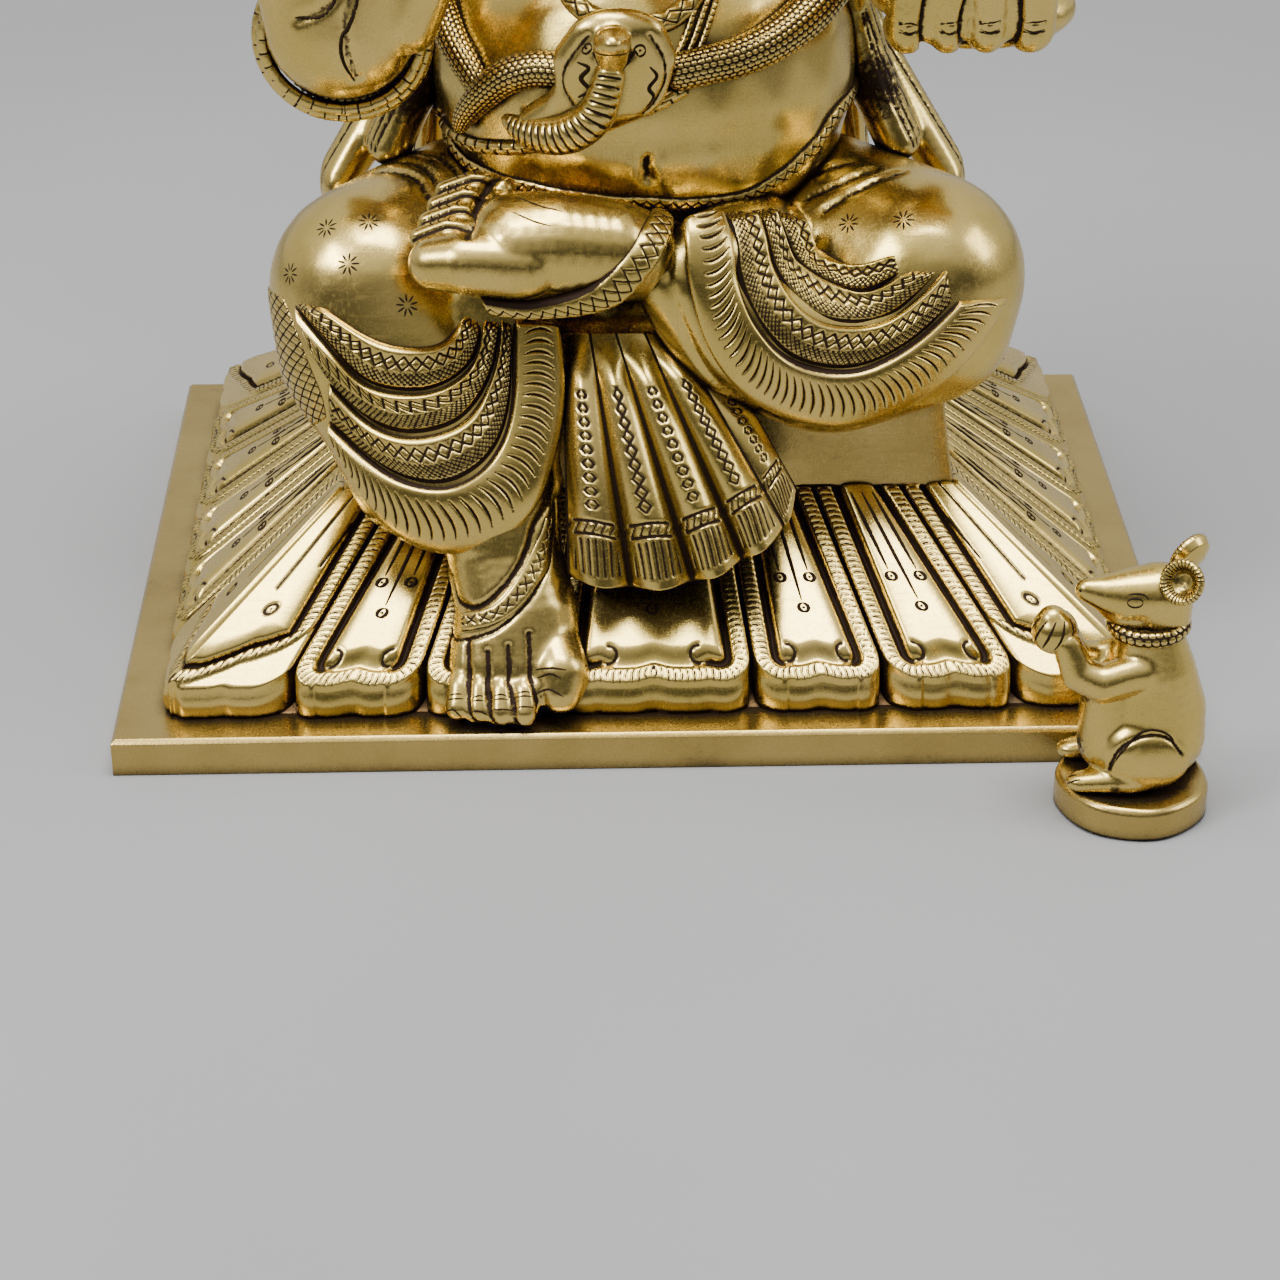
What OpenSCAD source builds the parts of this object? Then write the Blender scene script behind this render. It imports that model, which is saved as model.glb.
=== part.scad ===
// Seated elephant-headed figure in cast brass: a lotus throne with one leg hanging,
// built up from separate castings, and a loose mouse on its own round stand.
// Millimetres, +Z up, -Y is the front, origin under the centre of the base plate.
// "Right" and "left" name the figure's own sides: its right is at -X.

/* [Base plate] */
// Width of the base plate
plate_w = 380; // [340:1:460]
// Depth of the base plate
plate_d = 300; // [280:1:360]
// Thickness of the base plate
plate_t = 14; // [13:0.5:20]

/* [Lotus] */
// Plate left bare round the lotus, at the sides
margin_x = 17; // [8:0.5:24]
// Plate left bare round the lotus, at the front and back
margin_y = 14; // [8:0.5:20]
// Height of the upright lip at the foot of each petal
lip_h = 12; // [8:0.5:16]
// Height that the petals climb above the lip
slope_h = 44; // [36:1:54]
// Level distance that the petals run in under the seat block
slope_run = 61; // [50:1:74]
// Thickness of a petal, square to its slope
petal_t = 12; // [8:0.5:14]
// Width of the groove between two petals
petal_gap = 3; // [1.5:0.1:5]
// Radius of the corners of a petal's tip
petal_tip_r = 11; // [5:0.5:14]

/* [Seat block] */
// Height of the seat block
block_h = 35; // [28:1:45]
// How much each side of the block leans in from foot to top
block_draft = 4.5; // [0:0.5:8]
// Ledge of petal left bare round the foot of the block
block_ledge = 1.5; // [0.5:0.5:6]

/* [Tie bolts] */
// Diameter of the bolts that tie plate, lotus and block together
bolt_d = 8; // [6:1:10]
// Spacing of the bolts across the width
bolt_gap_x = 130; // [90:1:150]
// Spacing of the bolts across the depth
bolt_gap_y = 60; // [50:1:75]
// Depth that a bolt reaches into the seat block
bolt_reach = 20; // [12:1:24]
// Play between a bolt and the holes it passes through
bolt_play = 0.5; // [0.2:0.1:1]

/* [Figure] */
// Distance from the outside of one knee to the outside of the other
knee_span = 276; // [230:1:332]
// Height of the figure from its seat to the tip of its crown
figure_h = 500; // [410:1:600]
// Depth of the seated figure, from the front of the shins to the back
figure_d = 165; // [137:1:198]
// Width of the bead round the waist
belt_r = 5; // [3:0.5:7]
// Radius of the serpent tied round the belly
serpent_r = 8; // [6:0.5:10]

/* [Mouse] */
// Diameter of the mouse's round stand
stand_d = 52; // [43:0.5:63]
// Height of the mouse's stand
stand_h = 12; // [9:0.5:16]
// Height of the mouse above its stand
mouse_h = 86; // [70:1:104]
// Clear distance between the stand and the base plate
stand_clear = 1.2; // [0.8:0.1:6]
// Distance from the middle of the stand in to the plate's right-hand end
stand_inset = 27; // [10:1:60]

/* [Hidden] */

brass = "goldenrod";
steel = "silver";

// Facets round a large form, a limb and a thin trim
big_fn = 18;
limb_fn = 16;
trim_fn = 8;

// Lotus: half sizes of the lip's outline, and the slope of the petals
lotus_x = plate_w / 2 - margin_x;
lotus_y = plate_d / 2 - margin_y;
slope = atan2(slope_h, slope_run);
slope_len = norm([slope_h, slope_run]);
lip_top = plate_t + lip_h;
lotus_top = lip_top + slope_h;
// The core's faces lie a petal's thickness under the petals' faces
core_in = (petal_t / cos(slope) - lip_h) / tan(slope);
core_run = (lotus_top - plate_t) / tan(slope);
mitre = lotus_x - lotus_y;
// Petal boundaries as shares of the half width, along the lip and along the top
front_foot = [0, 0.208, 0.483, 0.757];
front_head = [0, 0.241, 0.536, 0.825];
side_foot = [0, 0.346, 0.691];
side_head = [0, 0.353, 0.707];

// Seat block
block_x = lotus_x - slope_run - block_ledge;
block_y = lotus_y - slope_run - block_ledge;
seat_z = lotus_top + block_h;

// Tie bolts: the head sits in a counterbore under the plate
head_h = 5.3;
head_r = bolt_d * 0.8;
washer_t = 1.6;
washer_r = bolt_d;
counterbore = 8.5;

// Figure: design points are in millimetres over the seat, stretched to the driving sizes
kx = knee_span / 276;
ky = figure_d / 165;
kz = figure_h / 500;
function at(p) = [p[0] * kx, p[1] * ky, seat_z + p[2] * kz];
function swell(r) = is_num(r) ? [r * kx, r * ky, r * kz] : [r[0] * kx, r[1] * ky, r[2] * kz];
function knob(p, r) = [at(p), swell(r)];
function flip(k) = [[-k[0][0], k[0][1], k[0][2]], k[1]];
function ring_at(n, c, rx, ry, lift) =
    [for (i = [0:n]) let (a = 360 * i / n) [c[0] + rx * sin(a), c[1] - ry * cos(a), c[2] + lift * (1 - cos(a)) / 2]];

// The hanging foot stands on the plate in front of the lip
toe_y = -lotus_y - 4;
foot_x = -50 * kx;

// Mouse
mouse_x = plate_w / 2 - stand_inset;
mouse_y = -plate_d / 2 - stand_d / 2 - stand_clear;
km = mouse_h / 86;
function mouse_at(p) = [mouse_x + p[0] * km, mouse_y + p[1] * km, stand_h + p[2] * km];
function mouse_knob(p, r) = [mouse_at(p), is_num(r) ? [r * km, r * km, r * km] : r * km];

// ---- building blocks ----

// A smooth egg at a place, with a radius for each axis
module egg(k, fn = limb_fn) {
    hull() translate(k[0]) scale(k[1]) sphere(r = 1, $fn = fn);
}

// A limb: each egg of the list runs smoothly into the next one
module limb(eggs, fn = limb_fn) {
    for (i = [0:len(eggs) - 2]) hull() {
        egg(eggs[i], fn);
        egg(eggs[i + 1], fn);
    }
}

// A bead along a list of figure points
module bead(points, r, fn = trim_fn) {
    limb([for (p = points) knob(p, r)], fn);
}

// ---- base ----

// Places something made for the front slope on one of the four sides
module on_side(turn, half) {
    rotate([0, 0, turn]) translate([0, -half, lip_top]) rotate([slope, 0, 0]) children();
}

// Everything between the plate and the block, inside the lip's outline
module lotus_room() {
    translate([-lotus_x, -lotus_y, plate_t]) cube([2 * lotus_x, 2 * lotus_y, lip_h + slope_h]);
}

// One petal as a slab along the slope: foot and head are its edges along the lip and the top
module petal_slab(foot, head) {
    over = petal_t;
    low = -lip_h;
    r = petal_tip_r;
    g = petal_gap / 2;
    a = foot[0] + g;
    b = foot[1] - g;
    tip = concat(
        [for (t = [0:15:90]) [a + r - r * cos(t), r + low / 2 - r * sin(t)]],
        [for (t = [0:15:90]) [b - r + r * sin(t), r + low / 2 - r * cos(t)]]);
    top_a = head[0] + g - (foot[0] - head[0]) * over / slope_len;
    top_b = head[1] - g - (foot[1] - head[1]) * over / slope_len;
    translate([0, 0, -petal_t]) linear_extrude(petal_t)
        polygon(concat(tip, [[top_b, slope_len + over], [top_a, slope_len + over]]));
}

// Petal number i of a side, counted out from the middle, with s = -1 or 1 for its half
module side_petal(i, s, foot_share, head_share, foot_half, head_half) {
    foot = [for (k = [i, i + 1]) s * foot_share[k] * foot_half];
    head = [for (k = [i, i + 1]) s * head_share[k] * head_half];
    petal_slab([min(foot), max(foot)], [min(head), max(head)]);
}

// Five petals across the front or the back, the middle one twice as wide as its share
module wide_petals(turn) {
    head_half = lotus_x - slope_run;
    intersection() {
        lotus_room();
        on_side(turn, lotus_y) {
            petal_slab([-front_foot[1] * lotus_x, front_foot[1] * lotus_x],
                [-front_head[1] * head_half, front_head[1] * head_half]);
            for (i = [1:2], s = [-1, 1])
                side_petal(i, s, front_foot, front_head, lotus_x, head_half);
        }
    }
}

// Four petals along the right or the left end
module end_petals(turn) {
    intersection() {
        lotus_room();
        on_side(turn, lotus_x) for (i = [0:1], s = [-1, 1])
            side_petal(i, s, side_foot, side_head, lotus_y, lotus_y - slope_run);
    }
}

// Everything on the front's side of the ridge at the corner (+X, -Y)
module front_of_ridge() {
    reach = plate_w;
    translate([mitre, 0, 0]) rotate([0, 0, 45])
        translate([-2 * reach, -reach, 0]) cube([2 * reach, 2 * reach, 2 * lotus_top]);
}

// One petal folded over the ridge at the corner (+X, -Y)
module corner_petal() {
    intersection() {
        lotus_room();
        union() {
            intersection() {
                front_of_ridge();
                on_side(0, lotus_y) petal_slab([front_foot[3] * lotus_x, 1.2 * lotus_x],
                    [front_head[3] * (lotus_x - slope_run), 1.2 * (lotus_x - slope_run)]);
            }
            difference() {
                on_side(90, lotus_x) petal_slab([-1.2 * lotus_y, -side_foot[2] * lotus_y],
                    [-1.2 * (lotus_y - slope_run), -side_head[2] * (lotus_y - slope_run)]);
                front_of_ridge();
            }
        }
    }
}

// Four places, one for each tie bolt
module at_bolts() {
    for (x = [-1, 1], y = [-1, 1]) translate([x * bolt_gap_x / 2, y * bolt_gap_y / 2, 0]) children();
}

module bolt_holes() {
    at_bolts() translate([0, 0, -1]) cylinder(r = bolt_d / 2 + bolt_play, h = lotus_top + 1, $fn = 32);
}

module base_plate() {
    chamfer = 1.5;
    color(brass) difference() {
        union() {
            translate([-plate_w / 2, -plate_d / 2, 0]) cube([plate_w, plate_d, plate_t - chamfer]);
            translate([0, 0, plate_t - chamfer]) linear_extrude(chamfer,
                scale = [1 - 2 * chamfer / plate_w, 1 - 2 * chamfer / plate_d])
                square([plate_w, plate_d], center = true);
        }
        bolt_holes();
        at_bolts() translate([0, 0, -1]) cylinder(r = washer_r + 1, h = counterbore + 1, $fn = 32);
    }
}

module lotus_core() {
    foot_x = lotus_x - core_in;
    foot_y = lotus_y - core_in;
    color(brass) difference() {
        translate([0, 0, plate_t]) linear_extrude(lotus_top - plate_t,
            scale = [1 - core_run / foot_x, 1 - core_run / foot_y])
            square([2 * foot_x, 2 * foot_y], center = true);
        bolt_holes();
    }
}

module petals_front() { color(brass) wide_petals(0); }
module petals_back() { color(brass) wide_petals(180); }
module petals_right() { color(brass) end_petals(-90); }
module petals_left() { color(brass) end_petals(90); }
module petals_corner() {
    color(brass) for (x = [0, 1], y = [0, 1]) mirror([x, 0, 0]) mirror([0, y, 0]) corner_petal();
}

module block_shape() {
    translate([0, 0, lotus_top]) linear_extrude(block_h,
        scale = [1 - block_draft / block_x, 1 - block_draft / block_y])
        square([2 * block_x, 2 * block_y], center = true);
}

module seat_block() {
    color(brass) difference() {
        block_shape();
        at_bolts() translate([0, 0, lotus_top - 1]) cylinder(r = bolt_d / 2, h = bolt_reach + 1, $fn = 32);
    }
}

module tie_bolts() {
    color(steel) at_bolts() {
        translate([0, 0, counterbore - washer_t - head_h]) cylinder(r = head_r, h = head_h, $fn = 32);
        translate([0, 0, counterbore - washer_t - head_h])
            cylinder(r = bolt_d / 2, h = lotus_top + bolt_reach - counterbore + washer_t + head_h, $fn = 32);
    }
}

module tie_washers() {
    color(steel) at_bolts() translate([0, 0, counterbore - washer_t]) difference() {
        cylinder(r = washer_r, h = washer_t, $fn = 32);
        translate([0, 0, -1]) cylinder(r = bolt_d / 2 + bolt_play, h = washer_t + 2, $fn = 32);
    }
}

// All that the figure rests on, cut out of what hangs over it
module throne() {
    block_shape();
    translate([0, 0, lip_top]) linear_extrude(slope_h,
        scale = [1 - slope_run / lotus_x, 1 - slope_run / lotus_y])
        square([2 * lotus_x, 2 * lotus_y], center = true);
    translate([-lotus_x, -lotus_y, plate_t - 1]) cube([2 * lotus_x, 2 * lotus_y, lip_h + 1]);
    translate([-plate_w / 2, -plate_d / 2, 0]) cube([plate_w, plate_d, plate_t]);
}

// ---- legs ----

right_hip = knob([-46, 4, 38], [44, 42, 40]);
right_knee = knob([-98, -56, 36], [39, 36, 37]);

module right_leg_form() {
    limb([right_hip, right_knee], big_fn);
    limb([right_knee,
        knob([-76, -78, 0], [40, 28, 36]),
        [[-64 * kx, -lotus_y + 38, lip_top + 58], [37 * kx, 20, 22]]], big_fn);
}

module left_leg_form() {
    limb([flip(right_hip), flip(right_knee)], big_fn);
    limb([flip(right_knee),
        knob([72, -76, 24], [34, 24, 27]),
        knob([34, -84, 30], [26, 20, 26]),
        knob([4, -88, 54], [17, 16, 17])], big_fn);
}

module left_foot_form() {
    limb([knob([4, -88, 56], [16, 16, 16]),
        knob([-30, -88, 64], [20, 18, 15]),
        knob([-62, -84, 66], [14, 22, 13])]);
}

module right_leg() {
    color(brass) difference() {
        right_leg_form();
        throne();
    }
}

module left_leg() {
    color(brass) difference() {
        left_leg_form();
        right_leg_form();
        throne();
    }
}

module left_foot() {
    color(brass) difference() {
        left_foot_form();
        left_leg_form();
        right_leg_form();
    }
}

module right_foot() {
    color(brass) difference() {
        union() {
            limb([[[foot_x - 10, toe_y + 42, plate_t + 52], [21, 17, 20]],
                [[foot_x - 4, toe_y + 22, plate_t + 30], [25, 18, 17]],
                [[foot_x, toe_y + 6, plate_t + 12], [27, 11, 11]]]);
            for (i = [0:4])
                egg([[foot_x - 22 + 11 * i, toe_y - 1, plate_t + 6], [5.5 + i / 2, 8, 6.5 + i / 2]], 12);
        }
        right_leg_form();
        throne();
    }
}

module pleat_fan() {
    heads = [-20, -15, -9, -3, 3];
    feet = [[-19, -44], [-2, -48], [16, -46], [33, -40], [46, -31]];
    color(brass) difference() {
        for (i = [0:4])
            limb([knob([heads[i], -84, 34], [7, 9, 7]), knob([feet[i][0], -108, feet[i][1]], [11, 9, 9])], 12);
        right_leg_form();
        left_leg_form();
        throne();
    }
}

// ---- trunk of the body and what it wears ----

module torso_form() {
    egg(knob([0, 10, 30], [92, 60, 38]), big_fn);
    egg(knob([0, -6, 106], [77, 68, 66]), big_fn);
    egg(knob([0, 6, 184], [72, 50, 58]), big_fn);
    limb([knob([-60, 6, 220], 26), knob([60, 6, 220], 26)]);
    limb([knob([0, 0, 232], [38, 34, 24]), knob([0, -2, 262], [37, 33, 16])]);
}

module torso() {
    color(brass) difference() {
        torso_form();
        right_leg_form();
        left_leg_form();
        left_foot_form();
        throne();
    }
}

module waist_belt_form() {
    bead(ring_at(20, [0, -2, 70], 78, 63, 18), belt_r);
}

module waist_belt() {
    color(brass) difference() {
        waist_belt_form();
        torso_form();
        right_leg_form();
        left_leg_form();
        left_foot_form();
    }
}

module serpent_form() {
    bead(ring_at(20, [0, -4, 118], 80, 71, 26), serpent_r);
}

module serpent_body() {
    color(brass) difference() {
        serpent_form();
        torso_form();
    }
}

module serpent_hood_form() {
    egg(knob([-10, -84, 130], [21, 11, 20]), limb_fn);
    limb([knob([-4, -90, 138], [7, 8, 7]), knob([-6, -97, 130], [6, 6, 5])], 12);
    limb([knob([-10, -86, 116], [9, 8, 8]), knob([-32, -80, 114], 8), knob([-46, -70, 124], 8)], 12);
}

module serpent_hood() {
    color(brass) difference() {
        serpent_hood_form();
        serpent_form();
        torso_form();
    }
}

module necklace_form() {
    bead([[-46, -26, 226], [-38, -44, 196], [-24, -58, 166], [0, -68, 152], [24, -58, 166],
        [38, -44, 196], [46, -26, 226]], [5, 7, 5]);
}

module necklace() {
    color(brass) difference() {
        necklace_form();
        torso_form();
        serpent_form();
    }
}

module sacred_thread() {
    color(brass) difference() {
        bead([[54, -20, 226], [48, -42, 196], [34, -58, 166], [20, -69, 144], [-4, -74, 128],
            [-40, -62, 112], [-66, -36, 104]], [3, 5, 3]);
        necklace_form();
        serpent_form();
        serpent_hood_form();
        torso_form();
    }
}

module sash_form() {
    limb([knob([66, 34, 136], 7), knob([84, 26, 96], [7, 12, 9]), knob([114, 6, 54], [7, 16, 9])], 12);
    limb([knob([84, 26, 96], [7, 12, 9]), knob([80, 40, 40], [10, 9, 9])], 12);
}

module left_sash() {
    color(brass) difference() {
        sash_form();
        torso_form();
        left_leg_form();
        serpent_form();
        throne();
    }
}

module right_sash() {
    color(brass) difference() {
        mirror([1, 0, 0]) sash_form();
        torso_form();
        right_leg_form();
        serpent_form();
        throne();
    }
}

// ---- arms ----

right_wrist = knob([-106, -44, 130], [18, 16, 18]);
left_wrist = knob([104, -48, 142], [15, 14, 13]);

module right_front_arm_form() {
    limb([knob([-78, 0, 218], [25, 24, 25]), knob([-120, 14, 160], [21, 20, 21]), right_wrist]);
}

module left_front_arm_form() {
    limb([knob([78, 0, 218], [25, 24, 25]), knob([118, 12, 158], [21, 20, 21]), left_wrist]);
}

module right_front_arm() {
    color(brass) difference() {
        right_front_arm_form();
        torso_form();
    }
}

module left_front_arm() {
    color(brass) difference() {
        left_front_arm_form();
        torso_form();
    }
}

// The raised palm faces forwards, with the fingers together
module right_hand_form() {
    egg(knob([-102, -68, 140], [31, 17, 36]), limb_fn);
    for (i = [0:3])
        limb([knob([-124 + 14 * i, -66, 164], [8, 8, 10]),
            knob([-125 + 15 * i, -66, 208 + 5 * sin(60 * i + 20)], [7, 7, 8])], 10);
    limb([knob([-78, -72, 146], [10, 10, 14]), knob([-66, -76, 178], [7, 7, 9])], 10);
}

module right_bangle_form() {
    ring_r = 29;
    translate(at([-103, -50, 134])) rotate([90, 0, 0])
        rotate_extrude($fn = 20) translate([ring_r * kx - 6, 0]) circle(r = 5, $fn = 8);
}

module right_front_hand() {
    color(brass) difference() {
        right_hand_form();
        right_front_arm_form();
    }
}

module right_bangle() {
    color(brass) difference() {
        right_bangle_form();
        right_front_arm_form();
        right_hand_form();
    }
}

// The other palm lies level under the bowl, with the fingers bent up in front of it
module left_hand_form() {
    egg(knob([113, -68, 146], [36, 26, 14]), limb_fn);
    limb([knob([90, -86, 140], [9, 9, 9]), knob([138, -86, 140], [9, 9, 9])], 12);
    for (i = [0:3])
        limb([knob([90 + 16 * i, -89, 142], [8, 8, 8]), knob([90 + 16 * i, -93, 164], [7.5, 7.5, 7.5]),
            knob([91 + 15 * i, -91, 178], [6.5, 6.5, 6.5])], 12);
    limb([knob([84, -62, 150], [9, 9, 9]), knob([74, -80, 168], [7, 7, 7])], 12);
}

module left_front_hand() {
    color(brass) difference() {
        left_hand_form();
        left_front_arm_form();
        torso_form();
    }
}

module left_bangle() {
    color(brass) difference() {
        translate(at([108, -30, 146])) rotate([80, 0, 6])
            rotate_extrude($fn = 20) translate([18 * kx, 0]) circle(r = 4.5, $fn = 8);
        left_front_arm_form();
        left_hand_form();
        torso_form();
        serpent_form();
    }
}

module sweet_bowl_form() {
    translate(at([112, -66, 152])) scale([kx, ky, kz]) rotate_extrude($fn = 24)
        polygon([[0, 0], [14, 0], [21, 8], [25, 20], [0, 20]]);
}

module sweet_bowl() {
    color(brass) difference() {
        sweet_bowl_form();
        left_hand_form();
        left_front_arm_form();
    }
}

module sweets_form() {
    for (a = [0:60:300])
        egg(knob([112 + 14 * cos(a), -66 + 14 * sin(a), 175], 8), 12);
    egg(knob([112, -66, 184], 9), 12);
    egg(knob([112, -66, 173], [16, 16, 8]), 12);
}

module sweets() {
    color(brass) difference() {
        sweets_form();
        sweet_bowl_form();
        left_hand_form();
    }
}

rear_wrist = knob([-142, 14, 282], [12, 12, 14]);

module rear_arm_form() {
    limb([knob([-66, 22, 222], [22, 20, 22]), knob([-124, 38, 216], [18, 17, 18]), rear_wrist]);
    egg(knob([-142, 8, 298], [15, 14, 17]), limb_fn);
}

module right_rear_arm() {
    color(brass) difference() {
        rear_arm_form();
        torso_form();
        right_front_arm_form();
    }
}

module left_rear_arm() {
    color(brass) difference() {
        mirror([1, 0, 0]) rear_arm_form();
        torso_form();
        left_front_arm_form();
    }
}

module axe() {
    color(brass) difference() {
        union() {
            limb([knob([-142, 4, 262], 5), knob([-142, 4, 300], 5), knob([-142, 4, 372], 4.5)], 10);
            hull() {
                egg(knob([-142, 4, 352], [6, 5, 13]), 12);
                egg(knob([-168, 4, 352], [3, 2.5, 27]), 12);
            }
        }
        rear_arm_form();
    }
}

module noose() {
    color(brass) difference() {
        union() {
            limb([knob([142, 4, 268], 5), knob([142, 4, 322], 5)], 10);
            bead([for (a = [0:36:360]) [142 + 17 * sin(a), 4, 342 - 19 * cos(a)]], 4.5);
        }
        mirror([1, 0, 0]) rear_arm_form();
    }
}

// ---- head ----

module head_form() {
    egg(knob([0, -8, 300], [56, 50, 48]), big_fn);
    egg(knob([-21, -20, 326], [31, 30, 24]), limb_fn);
    egg(knob([21, -20, 326], [31, 30, 24]), limb_fn);
    egg(knob([0, -36, 286], [42, 26, 32]), limb_fn);
}

module head() {
    color(brass) difference() {
        head_form();
        torso_form();
    }
}

module trunk_form() {
    limb([knob([0, -50, 296], [26, 22, 26]), knob([0, -72, 264], [21, 19, 21]),
        knob([2, -82, 234], 18), knob([14, -90, 206], 15.5), knob([36, -99, 190], 13),
        knob([58, -105, 190], 11), knob([70, -102, 204], 9.5)], 14);
}

module trunk() {
    color(brass) difference() {
        trunk_form();
        head_form();
        torso_form();
        necklace_form();
        left_hand_form();
    }
}

module ear_form() {
    limb([knob([50, -4, 322], [10, 8, 24]), knob([90, -6, 316], [28, 7, 42])], limb_fn);
    limb([knob([90, -6, 316], [28, 7, 42]), knob([70, -8, 264], [14, 6, 18])], limb_fn);
}

module left_ear() {
    color(brass) difference() {
        ear_form();
        head_form();
        torso_form();
        mirror([1, 0, 0]) rear_arm_form();
    }
}

module right_ear() {
    color(brass) difference() {
        mirror([1, 0, 0]) ear_form();
        head_form();
        torso_form();
        rear_arm_form();
    }
}

// The right tusk is broken short
module right_tusk() {
    color(brass) difference() {
        limb([knob([-27, -54, 276], 8.5), knob([-35, -78, 266], 6.5)], 12);
        head_form();
        trunk_form();
        translate([-60 * kx, -142 * ky, at([0, 0, 200])[2]]) cube([60 * kx, 65 * ky, 100 * kz]);
    }
}

module left_tusk() {
    color(brass) difference() {
        limb([knob([27, -54, 276], 8.5), knob([35, -78, 266], 6.5), knob([41, -97, 268], 3)], 12);
        head_form();
        trunk_form();
    }
}

// Three tiers over a brow band, narrowing to a neck under the finial
crown_foot = 330;
crown_neck = 470;
crown_profile = [[0, 0], [52, 0], [57, 5], [57, 14], [52, 19], [49, 50], [51, 55], [48, 62],
    [40, 66], [36, 90], [38, 94], [35, 100], [27, 104], [23, 120], [25, 124], [21, 131], [10, 140], [0, 140]];

module crown() {
    color(brass) difference() {
        translate(at([0, -4, crown_foot])) scale([kx, ky, kz])
            rotate_extrude($fn = 20) polygon(crown_profile);
        head_form();
        ear_form();
        mirror([1, 0, 0]) ear_form();
    }
}

module crown_finial() {
    color(brass) translate(at([0, -4, crown_neck])) scale([kx, ky, kz]) rotate_extrude($fn = 60)
        polygon([[0, 0], [8, 0], [13, 5], [14, 10], [8, 19], [3, 26], [0, 30]]);
}

// ---- mouse ----

mouse_neck = mouse_knob([-3, 0, 52], [13, 12, 9]);

module mouse_stand() {
    color(brass) translate([mouse_x, mouse_y, 0]) {
        cylinder(d = stand_d, h = stand_h - 1.5, $fn = 48);
        translate([0, 0, stand_h - 1.5]) cylinder(d1 = stand_d, d2 = stand_d - 3, h = 1.5, $fn = 48);
    }
}

module mouse_body_form() {
    limb([mouse_knob([3, 2, 18], [21, 18, 20]), mouse_knob([4, 1, 32], [19, 16, 18]), mouse_neck], limb_fn);
    for (s = [-1, 1]) {
        egg(mouse_knob([2, 13 * s, 8], [16, 7, 9]), 12);
        limb([mouse_knob([-6, 10 * s, 40], [7, 6, 7]), mouse_knob([-20, 7 * s, 46], [5, 4, 5])], 10);
    }
}

module mouse_body() {
    color(brass) difference() {
        mouse_body_form();
        translate([0, 0, -stand_h]) mouse_footprint();
    }
}

// The room of the stand and everything under its top
module mouse_footprint() {
    translate([mouse_x, mouse_y, 0]) cylinder(d = 3 * stand_d, h = 2 * stand_h, $fn = 48);
}

module mouse_head_form() {
    limb([mouse_knob([2, 0, 68], [14, 13, 12]), mouse_knob([-14, 0, 68], [6, 6, 6]),
        mouse_knob([-21, 0, 68], [3, 3, 3])], 14);
}

module mouse_collar_form() {
    translate(mouse_at([-3, 0, 54])) scale(km) rotate_extrude($fn = 20)
        translate([12.5, 0]) circle(r = 3, $fn = 8);
}

module mouse_head() {
    color(brass) difference() {
        mouse_head_form();
        mouse_body_form();
        mouse_collar_form();
    }
}

module mouse_collar() {
    color(brass) difference() {
        mouse_collar_form();
        mouse_body_form();
    }
}

module mouse_ears() {
    color(brass) difference() {
        for (s = [-1, 1]) hull() {
            egg(mouse_knob([8, 9 * s, 74], [4, 4, 4]), 12);
            egg(mouse_knob([13, 13 * s, 78], [8, 4, 8]), 12);
        }
        mouse_head_form();
        mouse_body_form();
    }
}

module mouse_sweet() {
    color(brass) difference() {
        union() {
            egg(mouse_knob([-24, 0, 50], [8, 8, 8]), 12);
            egg(mouse_knob([-24, 0, 58], [4, 4, 4]), 10);
        }
        mouse_body_form();
        mouse_head_form();
        mouse_collar_form();
    }
}

module mouse_tail() {
    color(brass) difference() {
        limb([mouse_knob([20, 4, 6], 4.5), mouse_knob([24, 12, 5], 4), mouse_knob([14, 21, 4], 3.5),
            mouse_knob([0, 23, 4], 3)], 10);
        mouse_body_form();
        translate([0, 0, -stand_h]) mouse_footprint();
    }
}

base_plate();
lotus_core();
petals_front();
petals_back();
petals_right();
petals_left();
petals_corner();
seat_block();
tie_bolts();
tie_washers();
torso();
right_leg();
left_leg();
right_foot();
left_foot();
pleat_fan();
waist_belt();
serpent_body();
serpent_hood();
necklace();
sacred_thread();
right_front_arm();
right_front_hand();
right_bangle();
left_front_arm();
left_front_hand();
left_bangle();
sweet_bowl();
sweets();
right_rear_arm();
axe();
left_rear_arm();
noose();
head();
trunk();
right_ear();
left_ear();
right_tusk();
left_tusk();
crown();
crown_finial();
right_sash();
left_sash();
mouse_stand();
mouse_body();
mouse_head();
mouse_ears();
mouse_collar();
mouse_sweet();
mouse_tail();
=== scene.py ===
"""Looks of a seated elephant-headed idol in chased brass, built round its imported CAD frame.

Lengths are millimetres in the sizes below and metres in Blender; +Z is up and -Y is the front.
"Right" and "left" are the figure's own sides, so its right is at -X.
"""

import logging
import math
from dataclasses import dataclass
from enum import Enum
from math import cos, pi, sin
from typing import Callable, Sequence

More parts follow.
